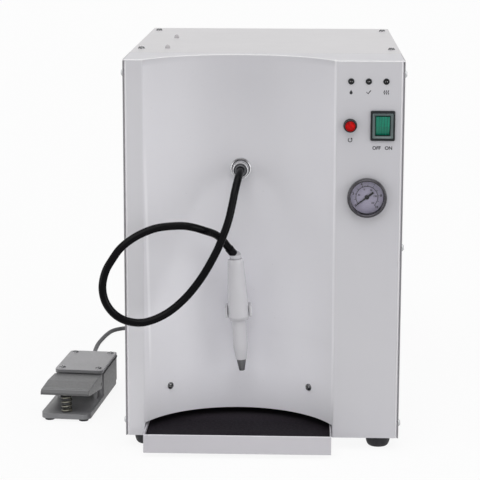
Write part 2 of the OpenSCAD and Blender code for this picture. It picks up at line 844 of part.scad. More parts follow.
module bulkhead_nut() {
  nut_t = 6;
  color("silver") in_frame() on_front(bay_x, fit_z, bay_depth) translate([0, 0, -sheet - nut_t])
    difference() {
      cylinder(r = bulk_r, h = nut_t, $fn = 6);
      translate([0, 0, -cut]) cylinder(d = bulk_barrel_d + 2 * hole_gap, h = nut_t + 2 * cut);
    }
}

module hose_nut() {
  low = bulk_seat + bulk_flange_t;
  round_t = 2;
  color("silver") in_frame() on_front(bay_x, fit_z, bay_depth) difference() {
    union() {
      translate([0, 0, low]) cylinder(d = hose_nut_d, h = hose_nut_end - low - round_t);
      translate([0, 0, hose_nut_end - round_t])
        cylinder(d1 = hose_nut_d, d2 = hose_nut_d - 2 * round_t, h = round_t);
    }
    cylinder(d = spigot_d + 2 * hole_gap, h = spigot_end);
    cylinder(d = hose_d + 2 * fit_gap, h = hose_nut_end + cut);
  }
}

module steam_hose() {
  color([0.12, 0.12, 0.13]) in_frame() tube(smooth_route(hose_route, 2), hose_d, 10);
}

// Ball and sleeve at the hose's end: the handpiece swings on the ball
module hose_ferrule() {
  color("dimgray") in_frame() translate(ball) {
    sphere(d = ball_d);
    rotate([0, 90 - ferrule_rise, ferrule_heading]) cylinder(d = ferrule_d, h = ferrule_len);
  }
}

// Local Z runs up the handpiece, 0 is the middle of the ball
module in_hand() {
  in_frame() translate(ball) rotate([0, -hand_lean, 0]) children();
}

module hand_grip() {
  color("white") in_hand() difference() {
    rotate_extrude() polygon([
      [0, -grip_rim], [grip_rim_r, -grip_rim], [grip_top_d / 2, -grip_rim - grip_round],
      [grip_d / 2, -grip_len + 2 * grip_round], [grip_d / 2, -grip_len + grip_round],
      [grip_d / 2 - grip_round / 2, -grip_len], [0, -grip_len]
    ]);
    sphere(r = socket_r);
  }
}

module hand_sleeve() {
  neck = sleeve_len * 0.3;
  color("whitesmoke") in_hand() rotate_extrude() polygon([
    [0, -grip_len], [sleeve_d / 2, -grip_len], [sleeve_d / 2, -grip_len - sleeve_len + neck],
    [nozzle_d / 2 + 0.5, -grip_len - sleeve_len], [0, -grip_len - sleeve_len]
  ]);
}

module hand_nozzle() {
  low = -grip_len - sleeve_len - nozzle_len;
  bore_r = 1;
  color("dimgray") in_hand() translate([0, 0, low]) difference() {
    cylinder(d1 = nozzle_tip_d, d2 = nozzle_d, h = nozzle_len);
    translate([0, 0, -cut]) cylinder(r = bore_r, h = nozzle_len / 2 + cut);
  }
}

// Clip: two arms beside the grip on a short stem from the bay wall
module hand_clip() {
  stem = bay_depth - hand_y;
  color("gainsboro") intersection() {
    in_hand() translate([0, 0, -clip_at - clip_h / 2]) {
      for (s = [-1, 1]) translate([s * (clip_half + clip_t / 2) - clip_t / 2, -clip_front, 0])
        cube([clip_t, clip_front + clip_back + clip_t, clip_h]);
      translate([-clip_half, clip_back, 0]) cube([2 * clip_half, clip_t, clip_h]);
      to_rear(0, clip_back + clip_t / 2, clip_h / 2) cylinder(d = clip_stem_d, h = stem - clip_back);
    }
    in_frame() translate([bay_x, bay_cy, 0]) cylinder(r = bay_r - seat_gap, h = cab_h, $fn = 128);
  }
}

// Pressure gauge
module gauge_case() {
  lip = 0.7;
  ledge = 2.4;
  outer = gauge_d / 2;
  glass_top = glass_z + glass_t + hole_gap;
  color("dimgray") in_frame() on_front(ctrl_x, gauge_z) {
    rotate_extrude() polygon([
      [0, -gauge_back], [gauge_barrel_r, -gauge_back], [gauge_barrel_r, 0], [outer, 0],
      [outer, gauge_bezel_t - 2], [outer - 1.2, gauge_bezel_t], [gauge_bore_r - lip, gauge_bezel_t],
      [gauge_bore_r - lip, glass_top], [gauge_bore_r, glass_top], [gauge_bore_r, dial_z],
      [gauge_bore_r - ledge, dial_z], [gauge_bore_r - ledge, -gauge_back + sheet], [0, -gauge_back + sheet]
    ]);
    translate([0, 0, -stem_end]) cylinder(r = stem_r, h = stem_end - gauge_back + sheet / 2);
  }
}

module gauge_dial() {
  color("lavender") in_frame() on_front(ctrl_x, gauge_z) translate([0, 0, dial_z]) difference() {
    cylinder(r = gauge_bore_r - hole_gap, h = dial_t);
    translate([0, 0, -cut]) cylinder(r = needle_pin_r + run_gap, h = dial_t + 2 * cut);
  }
}

module gauge_needle() {
  tip_w = 0.4;
  hub_w = 1.1;
  tail_w = 1.6;
  pin_low = dial_z - 3;
  color("black") in_frame() on_front(ctrl_x, gauge_z) {
    translate([0, 0, needle_z - needle_t]) cylinder(r = hub_r, h = 3 * needle_t);
    translate([0, 0, pin_low]) cylinder(r = needle_pin_r, h = needle_z - pin_low);
    translate([0, 0, needle_z]) rotate([0, 0, needle_rest]) linear_extrude(needle_t) polygon([
      [-needle_tail, -tail_w / 2], [0, -hub_w / 2], [needle_len, -tip_w / 2],
      [needle_len, tip_w / 2], [0, hub_w / 2], [-needle_tail, tail_w / 2]
    ]);
  }
}

module gauge_glass() {
  color([0.8, 0.85, 0.9, 0.4]) in_frame() on_front(ctrl_x, gauge_z)
    translate([0, 0, glass_z]) cylinder(r = gauge_bore_r - hole_gap, h = glass_t);
}

// Lamps
module lamp_bezels() {
  color([0.15, 0.15, 0.16]) in_frame() for (i = [-1, 0, 1])
    on_front(ctrl_x + i * lamp_pitch, lamp_z) difference() {
      union() {
        cylinder(d1 = lamp_d, d2 = lamp_d - 1, h = bezel_t / 2);
        translate([0, 0, -lamp_depth]) cylinder(d = lamp_barrel_d, h = lamp_depth + bezel_t / 4);
      }
      translate([0, 0, -lamp_depth + sheet])
        cylinder(d = lamp_lens_d + 2 * hole_gap, h = lamp_depth + bezel_t);
    }
}

module lamp_lenses() {
  dome = lamp_lens_d / 2;
  color([0.3, 0.3, 0.32]) in_frame() for (i = [-1, 0, 1])
    on_front(ctrl_x + i * lamp_pitch, lamp_z) translate([0, 0, -lamp_depth + sheet]) {
      cylinder(d = lamp_lens_d, h = lamp_depth - sheet);
      translate([0, 0, lamp_depth - sheet]) intersection() {
        sphere(r = dome);
        translate([-dome, -dome, 0]) cube([2 * dome, 2 * dome, dome]);
      }
    }
}

// Push button
module button_bezel() {
  color([0.16, 0.16, 0.18]) in_frame() on_front(button_x, ctrl_z) difference() {
    union() {
      cylinder(d = button_d, h = bezel_t * 0.6);
      cylinder(d1 = button_d - 0.6, d2 = button_d - 1.6, h = button_rim);
      translate([0, 0, -button_depth]) cylinder(d = button_barrel_d, h = button_depth + bezel_t / 2);
    }
    translate([0, 0, -button_depth + 2 * sheet])
      cylinder(d = button_cap_d + 2 * fit_gap, h = button_depth + button_rim);
  }
}

module reheat_button() {
  low = -button_depth + 2 * sheet + button_travel + fit_gap;
  color([0.75, 0.05, 0.03]) in_frame() on_front(button_x, ctrl_z) {
    translate([0, 0, low]) cylinder(d = button_cap_d, h = button_out - low - 1);
    translate([0, 0, button_out - 1]) cylinder(d1 = button_cap_d, d2 = button_cap_d - 2, h = 1);
  }
}

// Rocker switch
module switch_bezel() {
  open_w = rocker_w + 2 * fit_gap;
  open_h = 2 * (rocker_r + fit_gap);
  color([0.16, 0.18, 0.2]) in_frame() on_front(switch_x, ctrl_z) difference() {
    union() {
      rounded_block(switch_w, switch_h, bezel_t, 1.5);
      translate([0, 0, -switch_depth])
        rounded_block(switch_body_w, switch_body_h, switch_depth + bezel_t / 2, hole_gap);
    }
    translate([-open_w / 2, -open_h / 2, -rocker_back * 2])
      cube([open_w, open_h, rocker_back * 2 + bezel_t + cut]);
    to_right(-rocker_w / 2 - rocker_pin_len - fit_gap, 0, 0)
      cylinder(d = rocker_pin_d + 2 * run_gap, h = rocker_w + 2 * (rocker_pin_len + fit_gap));
  }
}

module power_rocker() {
  reach = rocker_r * 2;
  color([0.1, 0.5, 0.36]) in_frame() on_front(switch_x, ctrl_z) rotate([rocker_tilt, 0, 0]) {
    to_right(-rocker_w / 2, 0, 0) linear_extrude(rocker_w) intersection() {
      circle(r = rocker_r);
      for_both_faces(reach);
    }
    to_right(-rocker_w / 2 - rocker_pin_len, 0, 0)
      cylinder(d = rocker_pin_d, h = rocker_w + 2 * rocker_pin_len);
  }
}

// Section of the rocker, with -X forwards: two faces that meet in a shallow ridge, and a flat back
module for_both_faces(reach) {
  ridge = rocker_face / cos(rocker_tilt);
  drop = reach * tan(rocker_tilt);
  polygon([
    [-ridge, 0], [-ridge + drop, reach], [rocker_back, reach], [rocker_back, -reach], [-ridge + drop, -reach]
  ]);
}

// Boiler
module boiler_plan(inset) {
  r = boiler_d / 2 - inset;
  c = boiler_round - inset;
  translate([0, boiler_round]) square([r, boiler_h - 2 * boiler_round]);
  translate([0, inset]) square([r - c, boiler_h - 2 * inset]);
  for (z = [boiler_round, boiler_h - boiler_round]) translate([r - c, z]) circle(r = c);
}

module on_boiler(p) {
  translate([boiler_x + p[0], boiler_y + p[1], boiler_top + boss_h]) children();
}

module boiler_shell() {
  color("lightsteelblue") in_frame() {
    translate([boiler_x, boiler_y, boiler_z]) difference() {
      rotate_extrude() boiler_plan(0);
      rotate_extrude() boiler_plan(boiler_wall);
      translate([0, 0, -cut]) cylinder(r = heater_hole_r, h = boiler_wall + 2 * cut);
    }
    for (p = [[0, 0], safety_at, switch_at, gauge_port_at])
      on_boiler(p) translate([0, 0, -boss_h - boiler_wall / 2])
        cylinder(r = boss_r, h = boss_h + boiler_wall / 2);
    to_right(boiler_x + boiler_d / 2 - boiler_wall / 2, boiler_y, feed_z)
      cylinder(r = boss_r * 0.7, h = feed_boss + boiler_wall / 2);
  }
}

module boiler_stand() {
  foot_w = 14;
  color("darkgray") in_frame() translate([boiler_x, boiler_y, 0]) rotate_extrude() {
    translate([stand_r - stand_t, base_t]) square([stand_t, boiler_z - base_t]);
    translate([stand_r - stand_t, base_t]) square([foot_w, stand_t]);
    translate([stand_r - foot_w, boiler_z - stand_t]) square([foot_w, stand_t]);
  }
}

module heater() {
  color("silver") in_frame() translate([boiler_x, boiler_y, boiler_z]) {
    translate([0, 0, -heater_flange_t]) cylinder(r = heater_flange_r, h = heater_flange_t);
    for (y = [-heater_pitch, 0, heater_pitch]) translate([0, y, 0]) {
      for (x = [-heater_bend_r, heater_bend_r]) translate([x, 0, 0]) {
        cylinder(r = heater_rod_r, h = heater_len);
        translate([0, 0, -heater_flange_t * 2.5]) cylinder(r = heater_rod_r / 2, h = heater_flange_t * 2);
      }
      translate([0, 0, heater_len]) rotate([90, 0, 0]) rotate_extrude(angle = 180)
        translate([heater_bend_r, 0]) circle(r = heater_rod_r);
    }
  }
}

module solenoid_body() {
  color("goldenrod") in_frame() on_boiler([0, 0]) {
    translate([-valve_w / 2, -valve_w / 2, 0]) cube([valve_w, valve_w, valve_h]);
    on_front(0, valve_h / 2, -valve_w / 2 + cut) cylinder(d = pipe_d * 1.6, h = valve_outlet + cut);
  }
}

module solenoid_coil() {
  coil_w = 30;
  coil_h = 36;
  color([0.1, 0.1, 0.12]) in_frame() on_boiler([0, 0]) translate([0, 0, valve_h]) {
    rounded_block(coil_w, coil_w, coil_h, 3);
    cylinder(d = pipe_d * 1.6, h = coil_h + 6);
  }
}

module safety_valve() {
  hex_t = 8;
  spring_housing = 24;
  color("goldenrod") in_frame() on_boiler(safety_at) {
    cylinder(r = port_r, h = port_h + cut);
    translate([0, 0, port_h]) cylinder(r = boss_r, h = hex_t, $fn = 6);
    translate([0, 0, port_h + hex_t - cut]) cylinder(r = boss_r - 2, h = spring_housing + cut);
  }
}

module pressure_switch() {
  can_r = 17;
  can_h = 30;
  tab = [8, 20, 8];
  color("slategray") in_frame() on_boiler(switch_at) {
    cylinder(r = port_r, h = port_h + cut);
    translate([0, 0, port_h]) cylinder(r = can_r, h = can_h);
    translate([-tab[0] / 2, -tab[1] / 2, port_h + can_h - cut]) cube(tab + [0, 0, cut]);
  }
}

module steam_pipe() {
  color("peru") in_frame() tube(smooth_route(steam_route, 3), pipe_d, 10);
}

module gauge_pipe() {
  color("peru") in_frame() tube(smooth_route(gauge_route, 3), thin_pipe_d, 8);
}

module feed_pump() {
  color("dimgray") in_frame() translate([pump_x, pump_y, base_t]) {
    translate([-pump_w / 2, -pump_len / 2, 0]) cube([pump_w, pump_len, pump_foot_t]);
    to_rear(0, -pump_len / 2 + pump_head / 2, rear_z - base_t)
      cylinder(d = motor_d, h = pump_len - pump_head / 2);
    translate([-motor_d / 2, -pump_len / 2, 0]) cube([motor_d, pump_head, pump_h]);
    translate([-pump_rib / 2, 0, 0]) cube([pump_rib, pump_len / 3, rear_z - base_t]);
    translate([0, boiler_y - pump_y, pump_h - cut]) cylinder(r = port_r, h = pump_spigot + cut);
  }
}

module feed_pipe() {
  color("peru") in_frame() tube(smooth_route(feed_route, 3), thin_pipe_d, 8);
}

// Control board on four posts against the right side panel
module control_board() {
  face = -board_post - board_t;
  sink = board_t / 2;
  post_x = face + sink;
  color("darkgreen") in_frame() translate([side_in, board_y, board_z]) {
    translate([face, 0, 0]) cube([board_t, board_len, board_h]);
    for (y = [board_post, board_len - board_post], z = [board_post, board_h - board_post])
      to_right(post_x, y, z) cylinder(d = board_post_d, h = board_post + sink);
    for (i = [0 : 2]) translate([face - relay_t, relay_edge + i * relay_step, relay_z])
      cube([relay_t + sink, relay_w, relay_h]);
    translate([face - core_t, board_len - relay_edge - core_w, relay_edge])
      cube([core_t + sink, core_w, core_h]);
    translate([face - strip_t, relay_edge, strip_z]) cube([strip_t + sink, strip_len, strip_h]);
  }
}

// Fittings in the rear panel
module mains_inlet() {
  rim = 2;
  pin_step = 7;
  pin_rise = 2.5;
  blade = [2, 4];
  color([0.13, 0.13, 0.14]) in_frame() to_rear(mains_x, cab_d, mains_z) {
    difference() {
      union() {
        rounded_block(mains_w + 14, mains_h + 8, mains_flange, 3);
        translate([0, 0, -mains_depth]) rounded_block(mains_w, mains_h, mains_depth + mains_flange / 2, 2);
      }
      translate([0, 0, mains_flange - mains_cavity])
        rounded_block(mains_w - 2 * rim, mains_h - 2 * rim, mains_cavity + cut, 2);
    }
    for (p = [[-pin_step, pin_rise], [0, -pin_rise], [pin_step, pin_rise]])
      translate([p[0] - blade[0] / 2, p[1] - blade[1] / 2, mains_flange - mains_cavity - cut])
        cube([blade[0], blade[1], mains_pin_len + cut]);
  }
}

module water_inlet() {
  pump_rear = pump_y + pump_len / 2;
  barrel_in = 16;
  color("goldenrod") in_frame() {
    to_rear(pump_x, cab_d, rear_z) cylinder(d = inlet_barrel_d + 6, h = inlet_collar);
    to_rear(pump_x, cab_d - barrel_in, rear_z) cylinder(d = inlet_barrel_d, h = barrel_in + cut);
    to_rear(pump_x, cab_d + inlet_collar - cut, rear_z)
      cylinder(d = inlet_tail_d, h = inlet_out - inlet_collar + cut);
    to_rear(pump_x, pump_rear, rear_z) cylinder(d = pipe_d, h = cab_d - pump_rear - barrel_in + cut);
  }
}

module cable_gland() {
  color([0.16, 0.16, 0.17]) in_frame() {
    to_rear(gland_x, cab_d, rear_z) cylinder(d = gland_d, h = gland_len - gland_nose);
    to_rear(gland_x, cab_d + gland_len - gland_nose, rear_z)
      cylinder(d1 = gland_d, d2 = gland_mouth_d, h = gland_nose);
    to_rear(gland_x, cab_d - gland_tail, rear_z) cylinder(d = gland_thread_d, h = gland_tail + cut);
  }
}

// Foot pedal
module lid_spots() {
  x = pedal_w / 2 - lid_screw_in;
  for (s = [-1, 1], y = [case_y + lid_screw_in, pedal_len - lid_screw_in])
    translate([s * x, y, 0]) children();
}

module pedal_base() {
  inner_w = pedal_w - 2 * case_wall;
  ear_low = plinth_top - cut;
  color("gray") in_pedal() difference() {
    union() {
      translate([0, 0, pad_h]) rounded_plate(pedal_w, pedal_len, plinth_t, corner_r);
      difference() {
        union() {
          translate([0, case_y, plinth_top - cut])
            rounded_plate(pedal_w, case_len, case_h + cut, corner_r / 2);
          translate([0, case_y + case_wall / 2, case_top - cut])
            rounded_plate(pedal_w - case_wall, case_len - case_wall, lid_seat + cut, corner_r / 2);
        }
        translate([0, case_y + case_wall, plinth_top])
          rounded_plate(inner_w, case_len - 2 * case_wall, case_h + cut, corner_r / 4);
      }
      intersection() {
        lid_spots() translate([0, 0, plinth_top - cut]) cylinder(r = post_r, h = case_h + lid_seat + cut);
        translate([0, case_y + case_wall / 2, 0])
          rounded_plate(pedal_w - case_wall, case_len - case_wall, case_top * 2, corner_r / 2);
      }
      for (s = [-1, 1]) translate([s * (ear_x + ear_t / 2) - ear_t / 2, 0, 0]) {
        to_right(0, hinge_y, hinge_z) cylinder(r = ear_r, h = ear_t);
        translate([0, hinge_y, hinge_z - ear_r]) cube([ear_t, case_y - hinge_y + cut, 2 * ear_r]);
        translate([0, hinge_y - ear_r, ear_low]) cube([ear_t, case_y - hinge_y + ear_r, hinge_z - ear_low]);
      }
    }
    lid_spots() translate([0, 0, case_top - 2 * screw_len])
      cylinder(d = screw_d + 2 * hole_gap, h = 3 * screw_len);
    to_right(-pedal_w, hinge_y, hinge_z) cylinder(d = pin_d + 2 * hole_gap, h = 2 * pedal_w);
    translate([-window_w / 2, case_y - cut, hinge_z + window_low])
      cube([window_w, case_wall + 2 * cut, window_h]);
  }
}

module pedal_cover() {
  color("darkgray") in_pedal() difference() {
    translate([0, case_y - lid_over, case_top + lid_seat])
      rounded_plate(pedal_w, case_len + lid_over, lid_t, corner_r / 2);
    lid_spots() translate([0, 0, case_top]) cylinder(d = screw_d + 2 * hole_gap, h = lid_t * 3);
  }
}

module pedal_cover_screws() {
  color("dimgray") in_pedal() lid_spots() translate([0, 0, case_top + lid_seat + lid_t])
    pan_screw(screw_d, lid_t + screw_len, lid_screw_rise);
}

// Local Y runs to the rear from the hinge, local Z is square to the plate
module in_plate() {
  in_pedal() translate([0, hinge_y, hinge_z]) rotate([plate_slope, 0, 0]) children();
}

module pedal_plate() {
  front = -hinge_y;
  plate_w = 2 * (skirt_in + skirt_t);
  plate_len = plate_rear - front;
  plate_top = plate_under + plate_t;
  arch_r = (plate_len * plate_len / 4 + plate_arch * plate_arch) / (2 * plate_arch);
  nose = 3 * nose_drop;
  color("gray") in_plate() difference() {
    union() {
      intersection() {
        translate([-plate_w / 2, front, plate_under]) cube([plate_w, plate_len, plate_t + plate_arch]);
        to_right(-plate_w, front + plate_len / 2, plate_top + plate_arch - arch_r)
          cylinder(r = arch_r, h = 2 * plate_w);
      }
      translate([-plate_w / 2, front, lip_low]) cube([plate_w, skirt_t, plate_under - lip_low + cut]);
      for (s = [-1, 1]) translate([s * (skirt_in + skirt_t / 2), 0, 0]) {
        side_slab(skirt_t) polygon([
          [front, lip_low], [0, -lug_r], [plate_rear, 0], [plate_rear, plate_under + cut],
          [front, plate_under + cut]
        ]);
        to_right(-skirt_t / 2, 0, 0) cylinder(r = lug_r, h = skirt_t);
      }
      translate([-tongue_w / 2, 0, tongue_rise]) cube([tongue_w, tongue_reach, tongue_t]);
      translate([-tongue_w / 2, 0, tongue_rise])
        cube([tongue_w, plate_rear, plate_under - tongue_rise + cut]);
    }
    to_right(-pedal_w, 0, 0) cylinder(d = pin_d + 2 * run_gap, h = 2 * pedal_w);
    translate([0, front, plate_top - nose_drop]) side_slab(2 * plate_w) polygon([
      [-nose, -nose * nose_slope], [nose, nose * nose_slope], [-nose, nose * nose_slope]
    ]);
  }
}

module pedal_pin() {
  length = 2 * (skirt_in + skirt_t);
  color("silver") in_pedal() to_right(-length / 2, hinge_y, hinge_z) cylinder(d = pin_d, h = length);
}

module pedal_spring() {
  color("darkkhaki") in_pedal() translate([0, spring_y, spring_low]) tube(spring_route, wire_d, 6);
}

// Switch under the pedal's tongue
module pedal_microswitch() {
  plunger_r = 2;
  stem_h = 4;
  tongue_low = hinge_z + tongue_rise * cos(plate_slope) + (tongue_reach - plunger_r) * sin(plate_slope);
  body_top = tongue_low - stem_h;
  y = hinge_y + tongue_reach - plunger_r;
  color("black") in_pedal() {
    translate([-micro_w / 2, y - micro_len / 2, plinth_top])
      cube([micro_w, micro_len, body_top - plinth_top]);
    translate([0, y, body_top - cut]) cylinder(r = plunger_r, h = stem_h - 2 * fit_gap + cut);
  }
}

module pedal_pads() {
  x = pedal_w / 2 - pedal_pad_in;
  color([0.15, 0.15, 0.16]) in_pedal()
    for (s = [-1, 1], y = [pedal_pad_in, pedal_len - pedal_pad_in])
      translate([s * x, y, 0]) cylinder(d1 = pedal_pad_d - 1, d2 = pedal_pad_d, h = pad_h);
}

module pedal_gland() {
  color([0.2, 0.2, 0.21]) in_pedal() to_rear(0, pedal_len, pedal_gland_z) {
    cylinder(d = pedal_gland_d, h = pedal_gland_len - gland_nose);
    translate([0, 0, pedal_gland_len - gland_nose])
      cylinder(d1 = pedal_gland_d, d2 = gland_mouth_d, h = gland_nose);
  }
}

// Cable of the pedal
module pedal_cable() {
  color("gray") in_frame() tube(smooth_route(cable_route, 2), cable_d, 8);
}

module cable_coil() {
  color("gray") in_frame() tube(coil_route, cable_d, 6);
}

module cable_tail() {
  color("gray") in_frame() tube(smooth_route(tail_route, 2), cable_d, 8);
}

front_panel();
left_side_panel();
right_side_panel();
top_cover();
rear_panel();
base_plate();
feet();
top_screws();
side_screws();
bay_screws();
rear_screws();
drip_tray();
tray_mat();
bulkhead_fitting();
bulkhead_nut();
hose_nut();
steam_hose();
hose_ferrule();
hand_grip();
hand_sleeve();
hand_nozzle();
hand_clip();
gauge_case();
gauge_dial();
gauge_needle();
gauge_glass();
lamp_bezels();
lamp_lenses();
button_bezel();
reheat_button();
switch_bezel();
power_rocker();
boiler_shell();
boiler_stand();
heater();
solenoid_body();
solenoid_coil();
safety_valve();
pressure_switch();
steam_pipe();
gauge_pipe();
feed_pump();
feed_pipe();
control_board();
mains_inlet();
water_inlet();
cable_gland();
pedal_base();
pedal_cover();
pedal_cover_screws();
pedal_plate();
pedal_pin();
pedal_spring();
pedal_microswitch();
pedal_pads();
pedal_gland();
pedal_cable();
cable_coil();
cable_tail();
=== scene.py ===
"""Steam cleaner for dental work: finishes, cords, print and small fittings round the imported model.

Lengths are millimetres until at() or MM turns them into the frame's metres. A place is counted from
the middle of the cabinet's front plane at its bottom edge: X to the right, Y to the rear, Z up.
"""
import json
import math

import bmesh
import bpy
from mathutils import Matrix, Vector

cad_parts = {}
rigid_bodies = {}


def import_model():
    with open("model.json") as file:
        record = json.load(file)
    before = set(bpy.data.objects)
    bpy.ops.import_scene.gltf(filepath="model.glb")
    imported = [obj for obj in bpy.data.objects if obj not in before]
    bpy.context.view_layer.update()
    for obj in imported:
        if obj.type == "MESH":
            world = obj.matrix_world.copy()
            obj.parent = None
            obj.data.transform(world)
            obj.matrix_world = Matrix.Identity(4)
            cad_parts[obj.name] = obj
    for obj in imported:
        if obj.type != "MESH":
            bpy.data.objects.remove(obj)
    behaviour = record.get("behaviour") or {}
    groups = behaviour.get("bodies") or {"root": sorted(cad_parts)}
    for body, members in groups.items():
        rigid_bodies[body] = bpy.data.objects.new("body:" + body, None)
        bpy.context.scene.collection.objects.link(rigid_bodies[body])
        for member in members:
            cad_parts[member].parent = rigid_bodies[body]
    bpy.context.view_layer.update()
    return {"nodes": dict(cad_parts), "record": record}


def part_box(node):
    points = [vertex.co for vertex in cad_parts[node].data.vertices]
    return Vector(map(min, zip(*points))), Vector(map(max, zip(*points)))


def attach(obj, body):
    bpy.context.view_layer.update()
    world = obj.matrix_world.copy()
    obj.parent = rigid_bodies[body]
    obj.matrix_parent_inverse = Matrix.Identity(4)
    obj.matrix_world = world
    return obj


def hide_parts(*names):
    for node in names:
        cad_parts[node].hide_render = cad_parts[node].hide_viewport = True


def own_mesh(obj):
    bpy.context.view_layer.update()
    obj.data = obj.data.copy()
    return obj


for leftover in list(bpy.data.objects):
    bpy.data.objects.remove(leftover)
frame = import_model()

MM = 0.001
TURN = 2 * math.pi
deg = math.radians
# Points closer than this, in metres, become one
MERGE = 1e-6
# Edges whose faces turn by more than this many degrees stay sharp
SHARP = 32

# The cabinet's own origin, read from the frame
CABINET = Vector((
    (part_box("left_side_panel")[0].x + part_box("right_side_panel")[1].x) / 2,
    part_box("front_panel")[0].y,
    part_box("base_plate")[0].z,
))


def at(x, y, z):
    """A place on the cabinet, in the frame's metres."""
    return CABINET + Vector((x, y, z)) * MM


def tilt(angle, axis):
    """A turn by this many degrees."""
    return Matrix.Rotation(deg(angle), 4, axis)


def shade(red, green, blue):
    """A colour given as screen values from 0 to 255, as the shader's linear values."""
    def linear(value):
        value = value / 255
        return value / 12.92 if value <= 0.04045 else ((value + 0.055) / 1.055) ** 2.4
    return (linear(red), linear(green), linear(blue), 1.0)


def in_scene(name, data):
    """An object with this data, in the scene."""
    made = bpy.data.objects.new(name, data)
    bpy.context.scene.collection.objects.link(made)
    return made


# Camera and light

CAMERA_AT = (42.41, -1903.86, 599.77)
CAMERA_YAW = 2.01359
CAMERA_PITCH = 11.25145
CAMERA_ROLL = 0.136129
CAMERA_FOCUS_PX = 1799.5
PHOTO_PX = 480
SENSOR = 36


def set_camera():
    lens = bpy.data.cameras.new("camera")
    lens.sensor_width = SENSOR
    lens.lens = CAMERA_FOCUS_PX / PHOTO_PX * SENSOR
    lens.clip_start = 0.05
    lens.clip_end = 100
    camera = in_scene("camera", lens)
    camera.matrix_world = (
        Matrix.Translation(at(*CAMERA_AT))
        @ tilt(CAMERA_YAW, "Z")
        @ tilt(90 - CAMERA_PITCH, "X")
        @ tilt(CAMERA_ROLL, "Z")
    )
    bpy.context.scene.camera = camera


def add_lamp(name, toward, strength, spread):
    """A soft lamp far away: toward is the way from the object to it."""
    lamp = bpy.data.lights.new(name, "SUN")
    lamp.energy = strength
    lamp.angle = deg(spread)
    in_scene(name, lamp).rotation_euler = Vector(toward).to_track_quat("Z", "Y").to_euler()


# Shader wiring

# Places of a Mix node's sockets when it mixes colours: share, first and second colour, result
MIX_SHARE, MIX_FIRST, MIX_SECOND, MIX_RESULT = 0, 6, 7, 2


class Wire:
    """One socket of a finish. Sums, differences and products of wires add Math nodes."""

    def __init__(self, tree, socket=None):
        self.tree = tree
        self.socket = socket

    def node(self, kind, settings=None, inputs=None, output=0):
        """A node of this kind: its settings first, then the values or wires of its sockets."""
        made = self.tree.nodes.new("ShaderNode" + kind)
        for name, value in (settings or {}).items():
            setattr(made, name, value)
        for name, value in (inputs or {}).items():
            if isinstance(value, Wire):
                self.tree.links.new(value.socket, made.inputs[name])
            else:
                made.inputs[name].default_value = value
        return Wire(self.tree, made.outputs[output])

    def math(self, operation, first, second=0.0):
        return self.node("Math", {"operation": operation}, {0: first, 1: second})

    def __add__(self, other):
        return self.math("ADD", self, other)

    def __radd__(self, other):
        return self.math("ADD", other, self)

    def __sub__(self, other):
        return self.math("SUBTRACT", self, other)

    def __rsub__(self, other):
        return self.math("SUBTRACT", other, self)

    def __mul__(self, other):
        return self.math("MULTIPLY", self, other)

    def __rmul__(self, other):
        return self.math("MULTIPLY", other, self)

    def __abs__(self):
        return self.math("ABSOLUTE", self)

    def between(self, low, high, to_low=0.0, to_high=1.0):
        """The wire's values from low to high, brought to another range and held there."""
        inputs = {"From Min": low, "From Max": high, "To Min": to_low, "To Max": to_high, "Value": self}
        return self.node("MapRange", {"clamp": True}, inputs)

    def tint(self, first, second):
        """A colour that goes from first, where the wire is 0, to second, where it is 1."""
        inputs = {MIX_SHARE: self, MIX_FIRST: first, MIX_SECOND: second}
        return self.node("Mix", {"data_type": "RGBA"}, inputs, MIX_RESULT)


# Most of a noise lies between these two values
SWING = (0.3, 0.7)


